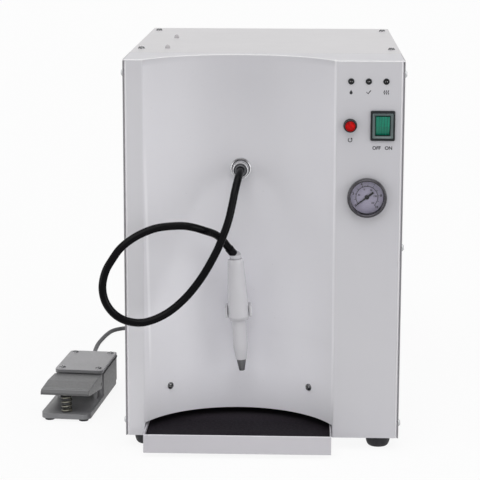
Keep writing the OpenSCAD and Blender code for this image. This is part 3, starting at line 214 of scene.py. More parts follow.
class Finish:
    """A material in the making: one shader, and patterns laid on the piece's own coordinates."""

    def __init__(self, name, **constants):
        self.material = bpy.data.materials.new(name)
        self.material.use_nodes = True
        self.tree = self.material.node_tree
        self.shader = self.tree.nodes["Principled BSDF"]
        self.skin = Wire(self.tree, self.shader.outputs[0])
        self.start = Wire(self.tree)
        self.place = self.start.node("TexCoord", output="Object")
        for socket, value in constants.items():
            self.shader.inputs[socket.replace("_", " ")].default_value = value

    def feed(self, socket, wire):
        self.tree.links.new(wire.socket, self.shader.inputs[socket])

    def axis(self, vector, letter):
        return self.start.node("SeparateXYZ", None, {"Vector": vector}, letter)

    def facing(self, letter):
        """How far the surface looks along an axis, from -1 to 1."""
        return self.axis(self.start.node("NewGeometry", output="Normal"), letter)

    def span(self, letter, low, high, to_low=0.0, to_high=1.0):
        """A value that goes from to_low to to_high between two places along one of the cabinet's axes."""
        origin = CABINET["XYZ".index(letter)]
        return self.axis(self.place, letter).between(origin + low * MM, origin + high * MM, to_low, to_high)

    def reach(self, start, way):
        """How far a place lies from the start, measured along this way."""
        step = self.start.node("VectorMath", {"operation": "SUBTRACT"}, {0: self.place, 1: start})
        return self.start.node("VectorMath", {"operation": "DOT_PRODUCT"}, {0: step, 1: way}, "Value")

    def noise(self, scale, detail, stretch=None):
        """Cloudy noise from 0 to 1, with this many swells to the metre."""
        place = self.place
        if stretch:
            place = self.start.node("Mapping", None, {"Vector": place, "Scale": stretch})
        return self.start.node("TexNoise", None, {"Vector": place, "Scale": scale, "Detail": detail})

    def drift(self, scale, detail, low=0.0, high=1.0, stretch=None):
        """Noise with its usual swing spread from low to high."""
        return self.noise(scale, detail, stretch).between(*SWING, low, high)

    def cells(self, scale, feature="F1"):
        inputs = {"Vector": self.place, "Scale": scale}
        return self.start.node("TexVoronoi", {"feature": feature}, inputs, "Distance")

    def soft_edges(self, radius):
        """The surface's direction, rounded over its edges."""
        return self.start.node("Bevel", {"samples": 6}, {"Radius": radius * MM})

    def rubbed(self, radius):
        """1 along the edges of the piece, 0 on its faces."""
        true = self.start.node("NewGeometry", output="Normal")
        inputs = {0: self.soft_edges(radius), 1: true}
        lean = self.start.node("VectorMath", {"operation": "DOT_PRODUCT"}, inputs, "Value")
        return lean.between(0.97, 0.80)

    def relief(self, height, depth, strength=1.0, normal=None):
        inputs = {"Height": height, "Distance": depth * MM, "Strength": strength}
        if normal:
            inputs["Normal"] = normal
        self.feed("Normal", self.start.node("Bump", None, inputs))

    def done(self, colour, rough):
        """The material, with these wires for its colour and its roughness."""
        self.feed("Base Color", colour)
        self.feed("Roughness", rough)
        return self.material


def mix_shaders(tree, output, share, first, second):
    """Two shaders mixed into the surface of the output node."""
    mixed = Wire(tree).node("MixShader", None, {0: share, 1: first, 2: second})
    tree.links.new(mixed.socket, tree.nodes[output].inputs["Surface"])


# Places that finishes follow

CAB_H = 415
HALF_W = 150
BAY_DEPTH = 66
LEFT_FOLD = ((-127, 307), (-123.2, 85))
RIGHT_FOLD = ((76.3, 400), (77.2, 20))
FITTING = Vector((-26, BAY_DEPTH, 289))
PEDAL_FRONT = Vector((-230, 92, 0))
PEDAL_TURN = deg(5.5)
pedal_way = Vector((math.sin(PEDAL_TURN), math.cos(PEDAL_TURN), 0))


# Finishes


def in_bay(paint):
    """How far a place is in the work bay, from 0 to 1, and how deep and how high in it."""
    inside = paint.span("Y", 0.1, 1.6) * paint.span("Z", CAB_H - 1, CAB_H - 8)
    return inside, paint.span("Y", 4, BAY_DEPTH), paint.span("Z", 0, CAB_H)


def crease(paint, top, foot, width):
    """1 along a straight line on the front, between two places given as x and z, and 0 beside it."""
    way = Vector((foot[0] - top[0], 0, foot[1] - top[1])).normalized()
    aside = paint.reach(at(top[0], 0, top[1]), (way.z, 0, -way.x))
    return abs(aside).between(width * MM, 0.3 * width * MM)


def bay_painted_light(paint, body, bay):
    """Painted light: paler paint in the bay, palest low at its back; painted shade in its middle and to the
    right.
    """
    inside, deep, share = in_bay(paint)
    low = 1.0 - share
    # Painted light: the left side paler, less so towards the top
    left = paint.span("X", 0, -HALF_W)
    body = (left * (1.0 - share * share)).tint(body, shade(215, 214, 218))
    # Painted light: paler paint over the bay, palest low and deep at its back, where its shade is deepest
    amount = 1.05 - share * share * (0.55 + 0.48 * deep) - 0.42 * (1.0 - deep) * low * low
    body = (inside * amount.between(0, 1)).tint(body, (deep * low).tint(bay, shade(250, 249, 255)))
    # Painted shade: a darker band at the bay's middle height, darker towards the right
    middle = share.between(0.14, 0.25) * share.between(0.88, 0.55)
    rightward = paint.span("X", -130, 60, 0.04, 0.1)
    body = (inside * middle * rightward).tint(body, shade(0, 0, 0))
    return fold_painted_light(paint, body, share)


def fold_painted_light(paint, body, share):
    """Painted highlights on the folds: the bay's two upright lines, the panel's upper edge and its corners;
    painted shade in the seam at its rim.
    """
    # Painted highlights along the bay's two upright folds
    left = crease(paint, *LEFT_FOLD, 1.7) * share.between(0.15, 0.25) * share.between(0.8, 0.6)
    right = crease(paint, *RIGHT_FOLD, 1.5) * share.between(0.04, 0.1)
    lines = paint.span("Y", 14, 10) * (left * 0.6 + right * 0.45)
    body = lines.tint(body, shade(252, 251, 254))
    # Painted highlight along the panel's upper fold
    rise = paint.axis(paint.soft_edges(2.0), "Z")
    upper = rise.between(0.15, 0.5) * rise.between(0.99, 0.93)
    body = (upper * 0.75).tint(body, shade(252, 250, 251))
    # Painted highlights on the panel's outer upright folds
    across = abs(paint.facing("X"))
    aside = abs(paint.reach(at(0, 0, 0), (1, 0, 0)))
    corner = across.between(0.1, 0.35) * across.between(0.97, 0.8) * paint.span("Y", 1.5, 1.2)
    corner = corner * aside.between((HALF_W - 11) * MM, (HALF_W - 9) * MM)
    body = (corner * 0.7).tint(body, shade(246, 245, 247))
    # Painted shade in the seam along the panel's rim
    rim = aside.between((HALF_W - 1.4) * MM, (HALF_W - 0.8) * MM) * rise.between(0.5, 0.9)
    return (rim * 0.75).tint(body, shade(112, 110, 113))


def stoved_paint(name, colour, deep, gloss, bay=None, cut=None, seam=None):
    """Sprayed and baked paint: orange peel, faint clouds in its tone, handling marks, pale worn edges, and
    painted light if asked.
    """
    paint = Finish(name, IOR=1.5)
    body = paint.noise(5, 3).between(0.35, 0.65).tint(deep, colour)
    # Painted light in the bay and painted highlights on its folds
    if bay:
        body = bay_painted_light(paint, body, bay)
    specks = paint.noise(420, 1).between(0.74, 0.80)
    body = (specks * 0.12).tint(body, shade(150, 149, 152))
    body = (paint.rubbed(0.5) * 0.3).tint(body, shade(232, 232, 235))
    # The front-facing cut edge darker: bare steel, and painted shade
    if cut:
        body = paint.facing("Y").between(-0.8, -0.95).tint(body, cut)
    # Painted shade in the seam behind the top's front edge
    if seam:
        line = paint.axis(paint.place, "Y").between(seam + 1.3 * MM, seam + 0.4 * MM)
        body = (line * 0.5).tint(body, shade(150, 148, 151))
    paint.relief(paint.noise(650, 2), 0.012, 0.5, paint.soft_edges(0.6))
    return paint.done(body, paint.noise(26, 4).between(0.45, 0.75, gloss - 0.01, gloss + 0.03))


def rubber(name, colour, dusty, grain, rough=0.6, sheen=0.5):
    """Moulded rubber: fine grain, a little dust in the open."""
    made = Finish(name, IOR=1.45, Specular_IOR_Level=sheen)
    dust = made.noise(60, 5).between(0.45, 0.8)
    made.relief(made.noise(grain, 3), 0.05, 0.6, made.soft_edges(0.5))
    return made.done(dust.tint(colour, dusty), made.drift(180, 3, rough - 0.06, rough + 0.12))


def spark_cut(made, body, low, high):
    """The material with the fine grain of a spark-cut mould, its roughness from low to high."""
    made.relief(made.noise(1400, 2), 0.01, 0.35, made.soft_edges(0.4))
    return made.done(body, made.noise(240, 2).between(0.2, 0.8, low, high))


def moulded(name, colour, paler, rough, painted_light_sides=None, sheen=0.5):
    """Moulded plastic: fine spark grain, a touch of wear on its edges, and painted light on its sides
    facing across if asked for.
    """
    made = Finish(name, IOR=1.5, Specular_IOR_Level=sheen)
    tone = (made.drift(40, 3) * 0.4).tint(colour, paler)
    body = (made.rubbed(0.35) * 0.35).tint(tone, paler)
    # Painted light on the sides that face across
    if painted_light_sides:
        body = abs(made.facing("X")).between(0.7, 0.95).tint(body, painted_light_sides)
    return spark_cut(made, body, rough - 0.02, rough + 0.03)


def glossy_plastic(name, colour, deeper, streak):
    """Clear-coated coloured plastic, with the fine streaks of its moulding."""
    made = Finish(name, IOR=1.5, Coat_Weight=0.06, Coat_Roughness=0.12, Specular_IOR_Level=0.12)
    lines = made.drift(1.0, 3, stretch=(streak, streak, streak))
    made.relief(lines, 0.03, 0.4, made.soft_edges(0.4))
    return made.done(lines.tint(deeper, colour), made.drift(90, 3, 0.22, 0.34))


LENS_RIB = 2.9


def ribbed_lens(name, colour, deeper):
    """Clear coloured plastic moulded with upright ribs."""
    made = Finish(name, IOR=1.5, Coat_Weight=0.15, Coat_Roughness=0.15, Specular_IOR_Level=0.3)
    across = made.axis(made.place, "X") * (TURN / (LENS_RIB * MM))
    ribs = made.start.math("SINE", across).between(-1, 1)
    fine = made.drift(1.0, 3, stretch=(1500, 60, 90))
    made.relief(ribs, 0.12, 0.6, made.soft_edges(0.4))
    return made.done((ribs * 0.45 + fine * 0.55).tint(deeper, colour), made.drift(90, 3, 0.28, 0.4))


def plated(name, colour, rough, scuff):
    """Plated or polished metal: hairline scratches and slightly uneven shine."""
    made = Finish(name, Metallic=1.0)
    smudge = made.noise(70, 4).between(0.35, 0.75)
    hair = made.noise(1.0, 2, (2600, 2600, 160))
    made.relief(hair, 0.004, 0.4, made.soft_edges(0.35))
    return made.done((smudge * 0.5).tint(colour, scuff), hair.between(*SWING, rough * 0.8, rough * 1.5))


def ring_painted_shade_top(name):
    """Polished ring, with painted shade over its top."""
    made = Finish(name, Metallic=0.75)
    high = made.span("Z", FITTING.z + 5, FITTING.z + 9.5)
    # Painted shade over the top: nearly white below, nearly black above
    tone = high.tint((0.97, 0.97, 0.98, 1.0), (0.09, 0.085, 0.09, 1.0))
    tone = made.drift(500, 3, 0, 0.15).tint(tone, (0.5, 0.5, 0.5, 1.0))
    made.relief(made.noise(900, 2), 0.005, 0.4)
    return made.done(tone, made.drift(300, 2, 0.16, 0.26))


def worn_screw_with_glints(name):
    """Blackened steel, rubbed bright along the edges of its head and recess: wear, and painted glints."""
    made = Finish(name, Metallic=1.0)
    # Bright rubbed edges: wear, and painted glints
    rub = made.rubbed(0.8) * made.noise(700, 2).between(0.3, 0.5)
    tone = rub.tint((0.09, 0.09, 0.095, 1.0), (0.85, 0.85, 0.85, 1.0))
    made.relief(made.noise(900, 2), 0.01, 0.4, made.soft_edges(0.3))
    return made.done(tone, made.drift(400, 3, 0.14, 0.26))


def brushed(name, colour, rough, grain):
    """Drawn or brushed metal with its grain along one axis."""
    made = Finish(name, Metallic=1.0)
    lines = made.noise(1.0, 4, grain)
    stain = made.noise(30, 4).between(0.4, 0.8)
    dull = tuple(0.72 * c for c in colour[:3]) + (1.0,)
    made.relief(lines, 0.01, 0.5, made.soft_edges(0.4))
    return made.done((stain * 0.6).tint(colour, dull), lines.between(*SWING, rough - 0.08, rough + 0.12))


def cast_painted_light(made, body):
    """The pedal's casting: painted light under the plate, painted shade on its right side."""
    start = at(*PEDAL_FRONT)
    along = made.reach(start, pedal_way).between(14 * MM, 45 * MM)
    across = abs(made.reach(start, (pedal_way.y, -pedal_way.x, 0))).between(27.5 * MM, 26 * MM)
    under = along * across * made.span("Z", 18, 10)
    # Painted light in the recess under the plate
    body = (under * 0.8).tint(body, shade(190, 190, 191))
    # Painted shade on the right side
    return made.facing("X").between(0.5, 0.9).tint(body, shade(72, 71, 73))


def lid_painted_shade(made, body):
    """The pedal's lid: painted shade on its front face."""
    return made.facing("Y").between(-0.3, -0.7).tint(body, shade(126, 126, 128))


def hammer_paint(name, colour, deep, worn, touch=None):
    """Thick paint on a casting: dimpled skin, clouds in its tone, paler where its edges are rubbed; touch,
    if given, adds painted light and shade.
    """
    made = Finish(name, IOR=1.5)
    dimples = made.cells(420)
    cast = made.noise(120, 4)
    body = made.drift(24, 3).tint(deep, colour)
    # touch lays painted light and shade on the body
    if touch:
        body = touch(made, body)
    rub = made.rubbed(0.9) * made.noise(160, 3).between(0.35, 0.6)
    made.relief(dimples * 0.4 + cast * 0.6, 0.16, 0.35, made.soft_edges(1.2))
    return made.done((rub * 0.7).tint(body, worn), dimples.between(0.0, 0.8, 0.5, 0.36))


def woven_mat(name):
    """Black felted mat: short fibres and lint, with painted light towards the back, where the bay's edge
    shades it.
    """
    made = Finish(name, Specular_IOR_Level=0.15)
    lint = made.noise(900, 3).between(0.55, 0.8)
    body = lint.tint(shade(20, 16, 22), shade(36, 31, 39))
    # Painted light: paler towards the back, against the shade under the bay's edge
    body = made.span("Y", 34, BAY_DEPTH, 0, 0.4).tint(body, shade(60, 55, 62))
    made.relief(made.noise(1500, 4), 0.25, 0.8)
    return made.done(body, made.drift(300, 2, 0.8, 0.95))


def clear_glass(name):
    """Flat window glass: what lies behind shows through, with a soft sheen at a slant."""
    made = Finish(name, Base_Color=shade(240, 242, 246), Roughness=0.04, IOR=1.5)
    smear = made.noise(55, 3).between(0.35, 0.75)
    sheen = made.start.node("LayerWeight", None, {"Blend": 0.12}, "Fresnel")
    through = made.start.node("BsdfTransparent")
    mix_shaders(made.tree, "Material Output", sheen + smear * 0.008, through, made.skin)
    return made.material


def printed(name, colour):
    """Silk-screen ink: nearly flat, a little uneven where it thins."""
    made = Finish(name, IOR=1.45)
    thin = made.noise(500, 3).between(0.5, 0.8)
    return made.done((thin * 0.15).tint(colour, shade(90, 90, 96)), made.drift(300, 2, 0.5, 0.65))


def dial_card(name):
    """Printed dial: lilac-grey lacquer with the faintest rolled grain."""
    made = Finish(name, IOR=1.45)
    grain = made.drift(1.0, 3, stretch=(90, 900, 900))
    tone = grain.tint(shade(182, 176, 199), shade(194, 189, 210))
    return made.done(tone, made.drift(200, 2, 0.45, 0.6))


def circuit_board(name):
    """Solder mask with the shadow of its tracks."""
    made = Finish(name, IOR=1.5)
    tracks = made.cells(260, "DISTANCE_TO_EDGE").between(0.0, 0.12)
    made.relief(tracks, 0.03, 0.5)
    return made.done(tracks.tint(shade(52, 120, 70), shade(14, 74, 38)), made.drift(80, 2, 0.3, 0.45))


PANEL = shade(203, 202, 206)
PANEL_DEEP = shade(199, 198, 203)
STEEL = (0.56, 0.57, 0.58, 1.0)
TOP_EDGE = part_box("top_cover")[0].y

# Each finish by its name: how it is made, then its tones and measures
FINISHES = {name: make(name, *measures) for name, make, *measures in (
    # panel_paint: its last tone is the painted light in the bay
    ("panel_paint", stoved_paint, PANEL, PANEL_DEEP, 0.36, shade(237, 236, 240)),
    # side_paint: its front cut edge darker, bare steel and painted shade
    ("side_paint", stoved_paint, PANEL, PANEL_DEEP, 0.36, None, shade(138, 136, 139)),
    # top_paint: painted shade along the seam at its front edge
    ("top_paint", stoved_paint, shade(206, 204, 206), shade(203, 201, 203), 0.38, None, None, TOP_EDGE),
    ("tray_paint", stoved_paint, shade(200, 198, 203), shade(196, 194, 199), 0.34),
    ("zinc_plate", brushed, (0.5, 0.51, 0.53, 1.0), 0.38, (900, 30, 900)),
    ("foot_rubber", rubber, shade(30, 30, 34), shade(48, 48, 52), 500),
    ("screw_dark", worn_screw_with_glints),
    ("screw_bright", brushed, STEEL, 0.26, (500, 500, 500)),
    ("mat_black", woven_mat),
    ("chrome_fitting", plated, (0.60, 0.60, 0.61, 1.0), 0.10, (0.44, 0.44, 0.45, 1.0)),
    ("hose_black", rubber, shade(4, 4, 6), shade(9, 8, 11), 900, 0.18, 0.09),
    ("ferrule_dark", moulded, shade(44, 44, 48), shade(74, 74, 78), 0.4),
    ("grip_white", moulded, shade(204, 203, 207), shade(212, 211, 215), 0.24),
    ("nozzle_steel", brushed, (0.20, 0.20, 0.205, 1.0), 0.34, (500, 500, 60)),
    # clip_grey: its last tone is painted light on its sides
    ("clip_grey", moulded, shade(196, 195, 199), shade(212, 211, 214), 0.42, shade(252, 252, 254)),
    ("gauge_black", brushed, (0.07, 0.067, 0.074, 1.0), 0.2, (60, 700, 700)),
    ("dial_face", dial_card),
    ("needle_black", moulded, shade(10, 9, 12), shade(22, 21, 24), 0.5),
    ("clear_glass", clear_glass),
    ("bezel_black", moulded, shade(14, 17, 20), shade(36, 42, 46), 0.42, None, 0.32),
    ("lamp_lens", glossy_plastic, shade(40, 36, 37), shade(14, 12, 13), 300),
    ("button_red", glossy_plastic, shade(206, 4, 3), shade(156, 2, 3), 240),
    ("rocker_green", ribbed_lens, shade(10, 140, 112), shade(2, 94, 74)),
    ("boiler_steel", brushed, STEEL, 0.28, (30, 30, 900)),
    ("brass_body", brushed, (0.62, 0.46, 0.20, 1.0), 0.28, (60, 60, 800)),
    ("coil_black", moulded, shade(28, 28, 31), shade(52, 52, 56), 0.45),
    ("switch_grey", moulded, shade(96, 100, 106), shade(122, 126, 132), 0.45),
    ("copper_tube", brushed, (0.66, 0.36, 0.24, 1.0), 0.3, (200, 200, 200)),
    ("pump_grey", hammer_paint, shade(98, 100, 103), shade(82, 84, 87), shade(150, 150, 150)),
    ("board_green", circuit_board),
    # pedal_cast: painted light under the plate, painted shade on its right side
    ("pedal_cast", hammer_paint, shade(136, 136, 138), shade(128, 128, 130), shade(160, 160, 160),
     cast_painted_light),
    # pedal_lid: painted shade on its front face
    ("pedal_lid", hammer_paint, shade(158, 157, 159), shade(151, 150, 152), shade(186, 186, 186),
     lid_painted_shade),
    ("spring_steel", plated, (0.20, 0.195, 0.165, 1.0), 0.34, (0.11, 0.105, 0.085, 1.0)),
    ("pin_steel", brushed, STEEL, 0.2, (40, 500, 500)),
    ("cable_grey", rubber, shade(74, 74, 76), shade(94, 94, 96), 1100),
)}
FRAME_GREY = moulded("switch_frame_grey", shade(74, 88, 89), shade(112, 128, 127), 0.38)
NUT_GREY = moulded("nut_grey", shade(146, 145, 149), shade(162, 161, 165), 0.34)
RING_BRIGHT = ring_painted_shade_top("ring_bright")
COLLAR_GREY = moulded("collar_grey", shade(104, 104, 108), shade(132, 132, 136), 0.38)
# The pedal's plate: a darker copy of the casting's paint, painted shade against the top light
PLATE_PAINTED_SHADE = hammer_paint("plate_painted_shade", shade(95, 95, 96), shade(88, 88, 89), shade(126, 126, 126))
# The plate's ribs: a paler copy of the casting's paint, painted highlights
RIB_PAINTED_LIGHT = hammer_paint("rib_painted_light", shade(132, 132, 133), shade(124, 124, 125), shade(150, 150, 150))
# The tray's hem: a paler copy of the tray's paint, a painted highlight
HEM_PAINTED_HIGHLIGHT = stoved_paint("hem_painted_highlight", shade(240, 239, 243), shade(235, 234, 238), 0.34)
BUMP_GREY = moulded("bump_grey", shade(180, 177, 179), shade(190, 188, 190), 0.5)
# Black for the lid's gasket, partly painted seam shade, and for the pedal's pin, painted shade of its slot
SEAL_AND_SLOT_SHADE = rubber("seal_and_slot_shade", shade(10, 10, 11), shade(18, 18, 19), 500)
INK = printed("print_ink", shade(16, 15, 21))

# Nodes whose finish isn't the one that their slot names
OWN_FINISH = {
    "left_side_panel": FINISHES["side_paint"], "right_side_panel": FINISHES["side_paint"],
    # The pedal's pin is black as painted shade of its slot; its plate is a darker copy, painted shade
    "hose_nut": NUT_GREY, "pedal_pin": SEAL_AND_SLOT_SHADE, "pedal_plate": PLATE_PAINTED_SHADE,
}

for part in frame["record"]["subparts"]:
    skin = frame["nodes"][part["node"]].data.materials
    skin.clear()
    skin.append(OWN_FINISH.get(part["node"], FINISHES[part["material_slot"]]))


# Making pieces


def show(name, shape, slot, finish=None, body="cabinet"):
    """A piece in the scene: its mesh or curve, already in place, its finish and the body it moves with."""
    shape.materials.clear()
    shape.materials.append(finish or FINISHES[slot])
    made = in_scene(name, shape)
    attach(made, body)
    return made


def as_mesh(name, bm):
    """The bmesh as a mesh; the bmesh is let go."""
    mesh = bpy.data.meshes.new(name)
    bm.to_mesh(mesh)
    bm.free()
    return mesh


def smoothed(mesh, sharp=SHARP):
    """The mesh with its round faces smooth, and its edges sharp where faces turn further than that."""
    mesh.shade_smooth()
    mesh.set_sharp_from_angle(angle=deg(sharp))
    return mesh


def shaped(name, bm, place, sharp=SHARP):
    """The bmesh as a smoothed mesh at its place."""
    bm.transform(place)
    return smoothed(as_mesh(name, bm), sharp)


def sealed(bm):
    """Points that meet become one, and every face looks outwards."""
    bmesh.ops.remove_doubles(bm, verts=bm.verts, dist=MERGE)
    bmesh.ops.recalc_face_normals(bm, faces=bm.faces)


def turned(name, outline, place, steps):
    """A turned solid: outline gives radius and height, and turns round the local Z axis."""
    bm = bmesh.new()
    points = [bm.verts.new((r * MM, 0, h * MM)) for r, h in outline]
    line = [bm.edges.new(pair) for pair in zip(points, points[1:])]
    bmesh.ops.spin(
        bm, geom=points + line, cent=(0, 0, 0), axis=(0, 0, 1), angle=TURN, steps=steps, use_merge=True
    )
    sealed(bm)
    return shaped(name, bm, place)


def show_turned(name, outline, place, steps, slot, finish=None):
    """A turned piece on the cabinet."""
    return show(name, turned(name, outline, place, steps), slot, finish)


def rod(name, radius, length, segments, place):
    """A round rod along the local Z axis, about its middle."""
    bm = bmesh.new()
    bmesh.ops.create_cone(
        bm, cap_ends=True, cap_tris=False, segments=segments, radius1=radius, radius2=radius, depth=length
    )
    return shaped(name, bm, place)


def raise_by(bm, geom, height):
    """Lift the new vertices of an extrusion."""
    verts = [v for v in geom if isinstance(v, bmesh.types.BMVert)]
    bmesh.ops.translate(bm, verts=verts, vec=(0, 0, height * MM))


def arc(x, y, radius, start, end, steps):
    """Points of a circle's arc, from one angle to another."""
    angles = [deg(start + (end - start) * i / steps) for i in range(steps + 1)]
    return [(x + radius * math.cos(a), y + radius * math.sin(a)) for a in angles]


def on_front(x, z, out=0.0):
    """Local X to the right, local Y up, local Z out of the cabinet's front."""
    return Matrix.Translation(at(x, -out, z)) @ tilt(90, "X")


def joined(name, meshes):
    """Several meshes as one."""
    bm = bmesh.new()
    for mesh in meshes:
        bm.from_mesh(mesh)
        bpy.data.meshes.remove(mesh)
    return as_mesh(name, bm)


def show_joined(name, meshes, slot, finish=None, body="cabinet"):
    """Several round meshes as one piece."""
    return show(name, smoothed(joined(name, meshes)), slot, finish, body)


# Cords

HOSE_D = 8.6
CABLE_D = 5.5
FERRULE_HEADING = deg(228)
FERRULE_RISE = deg(46)
BALL = Vector((-31, 38, 195))
FERRULE_LEN = 14
HOSE_STEP = 7


def straight(start, way, step):
    """Three points in line, from where a cord leaves something."""
    return [start + step * k * way for k in (0, 1, 2)]


ferrule_way = Vector((
    math.cos(FERRULE_RISE) * math.cos(FERRULE_HEADING),
    math.cos(FERRULE_RISE) * math.sin(FERRULE_HEADING),
    math.sin(FERRULE_RISE),
))
hose_route = [Vector(p) for p in (
    (-26, 55, 289), (-26, 48, 289), (-26, 41, 289),
    (-26.9, 30.7, 286.5), (-28.5, 20.6, 280.6), (-30.8, 11.8, 270.9), (-33.1, 5.9, 259),
    (-37, -2, 242), (-43, -8, 225), (-51, -13, 207), (-65, -19, 183), (-82, -25, 162),
    (-102, -31, 145.9), (-124.1, -37.1, 137.6), (-142.4, -40.8, 139.2), (-156.6, -43, 147.3),
    (-166.1, -44.1, 160.8), (-169.2, -44, 176.9), (-166.1, -42.1, 193.1), (-159, -39, 206),
    (-149, -35, 219), (-133, -29, 230), (-113, -21, 237), (-90, -12.1, 238), (-76, -7.9, 236),
    (-63.4, -0.2, 230.9), (-51.6, 13, 224),
)] + straight(BALL + FERRULE_LEN * ferrule_way, ferrule_way, HOSE_STEP)[::-1]

PEDAL_LEN = 163
PEDAL_GLAND_LEN = 14
PEDAL_GLAND_Z = 2
CABLE_Z = -10.95
COIL_MIDDLE = (-110, 492)
COIL_TURNS = 5
COIL_PITCH = 6.1
COIL_OUT = 38
COIL_POINTS = 24
GLAND_MOUTH = Vector((-40, 434, 40))
CABLE_STEP = 12
COIL_STEP = 7
GLAND_STEP = 10

pedal_exit = PEDAL_FRONT + Vector((0, 0, PEDAL_GLAND_Z)) + (PEDAL_LEN + PEDAL_GLAND_LEN) * pedal_way


def eased(share):
    share = min(max(share, 0), 1)
    return share * share * (3 - 2 * share)


def coil_point(u):
    """A point of the put-away coil after u turns: a flat spiral inwards, then one outwards on top."""
    radius = COIL_OUT - COIL_PITCH * min(u, COIL_TURNS - u)
    angle = deg(90) - TURN * u
    rise = COIL_PITCH * eased((u - COIL_TURNS / 2 + 0.25) * 2)
    return Vector((
        COIL_MIDDLE[0] + radius * math.cos(angle),
        COIL_MIDDLE[1] + radius * math.sin(angle),
        CABLE_Z + rise,
    ))


coil = [coil_point(i / COIL_POINTS) for i in range(COIL_TURNS * COIL_POINTS + 1)]
coil_way_in = (coil[1] - coil[0]).normalized()
coil_way_out = (coil[-1] - coil[-2]).normalized()
coil_start = coil[0] - CABLE_D * coil_way_in
coil_end = coil[-1] + CABLE_D * coil_way_out
cable_route = (
    straight(pedal_exit, pedal_way, CABLE_STEP)
    + [Vector(p) for p in (
        (-212, 312, 1), (-217.5, 336, -1), (-224.5, 361, -4), (-229, 388, -8), (-231, 415, CABLE_Z),
        (-230.5, 441, CABLE_Z), (-228, 466, CABLE_Z), (-224.5, 490, CABLE_Z), (-218.5, 512, CABLE_Z),
        (-205, 526, CABLE_Z), (-185, 530, CABLE_Z), (-160, 530, CABLE_Z),
    )]
    + straight(coil_start, -coil_way_in, CABLE_STEP)[::-1]
    + coil
    + straight(coil_end, coil_way_out, COIL_STEP)
    + [Vector(p) for p in ((-72, 527, 1), (-56, 518, 12), (-46, 503, 24), (-41, 484, 34))]
    + straight(GLAND_MOUTH, Vector((0, 1, 0)), GLAND_STEP)[::-1]
)


def cord_curve(name, route, diameter, slot):
    """One smooth round cord through the points of its route."""
    curve = bpy.data.curves.new(name, "CURVE")
    curve.dimensions = "3D"
    curve.resolution_u = 6
    curve.bevel_depth = diameter / 2 * MM
    curve.bevel_resolution = 5
    curve.use_fill_caps = True
    spline = curve.splines.new("BEZIER")
    spline.bezier_points.add(len(route) - 1)
    for i, knot in enumerate(spline.bezier_points):
        lead = (route[min(i + 1, len(route) - 1)] - route[max(i - 1, 0)]) / 6
        knot.handle_left_type = knot.handle_right_type = "FREE"
        knot.co = at(*route[i])
        knot.handle_left = at(*(route[i] - lead))
        knot.handle_right = at(*(route[i] + lead))
    return show(name, curve, slot)


SLEEVE_LEN = 22
SLEEVE_R = 4.1
SLEEVE_TAPER = 0.75
SLEEVE_SEAT = 1.5
SLEEVE_RIBS = 6
SLEEVE_GROOVE = 0.5


def strain_sleeve(name, mouth, way):
    """A tapered, ribbed sleeve where the cable leaves its gland."""
    bore = CABLE_D / 2 + 0.15
    outline = [(bore, -SLEEVE_SEAT), (SLEEVE_R, -SLEEVE_SEAT)]
    for i in range(SLEEVE_RIBS):
        low = SLEEVE_LEN * i / SLEEVE_RIBS
        wide = SLEEVE_R - SLEEVE_TAPER * i / SLEEVE_RIBS
        slim = wide - SLEEVE_GROOVE
        outline += [(wide, low), (wide, low + 2.2), (slim, low + 2.6), (slim, low + 3.3)]
    outline += [(bore + 0.35, SLEEVE_LEN), (bore, SLEEVE_LEN), (bore, -SLEEVE_SEAT)]
    turn = Vector(way).to_track_quat("Z", "X").to_matrix().to_4x4()
    return show_turned(name, outline, Matrix.Translation(at(*mouth)) @ turn, 32, "coil_black")


TIE_W = 5
TIE_T = 0.22
TIE_CORNER = 2.6


def coil_tie():
    """A thin strap round the coil where its turns lie side by side."""
    inner = COIL_OUT - COIL_PITCH * COIL_TURNS / 2 - CABLE_D / 2
    outer = COIL_OUT - COIL_PITCH / 2 + CABLE_D / 2
    high = COIL_PITCH + CABLE_D
    bm = bmesh.new()
    bmesh.ops.create_grid(bm, x_segments=1, y_segments=1, size=0.5)
    bmesh.ops.scale(bm, verts=bm.verts, vec=((outer - inner) * MM, high * MM, 1))
    bmesh.ops.bevel(
        bm, geom=bm.verts, offset=TIE_CORNER * MM, offset_type="OFFSET", segments=5, profile=0.5,
        affect="VERTICES", material=-1,
    )
    bmesh.ops.delete(bm, geom=bm.faces, context="FACES_ONLY")
    raise_by(bm, bmesh.ops.extrude_edge_only(bm, edges=bm.edges[:])["geom"], TIE_W)
    sealed(bm)
    bmesh.ops.solidify(bm, geom=bm.faces, thickness=-TIE_T * MM)
    stand = tilt(90, "Z") @ tilt(90, "X")
    x = COIL_MIDDLE[0] - TIE_W / 2
    y = COIL_MIDDLE[1] - (inner + outer) / 2
    place = Matrix.Translation(at(x, y, CABLE_Z - CABLE_D / 2 + high / 2))
    return show("coil_tie", shaped("coil_tie", bm, place @ stand), "coil_black")


def dress_swivel():
    """The hose's end: a black sleeve on a swivel ball that is white where the grip holds it."""
    made = Finish("swivel_finish", IOR=1.5, Specular_IOR_Level=0.12)
    above = made.span("Z", BALL.z + 1.6, BALL.z + 2.0)
    sleeve = made.reach(at(*BALL), ferrule_way).between(4.5 * MM, 4.9 * MM)
    white = made.noise(60, 3).between(0.35, 0.65).tint(shade(202, 201, 205), shade(210, 209, 213))
    ball = above.tint(white, shade(168, 167, 170))
    body = (above * sleeve).tint(ball, shade(6, 5, 8))
    frame["nodes"]["hose_ferrule"].data.materials[0] = spark_cut(made, body, 0.26, 0.34)


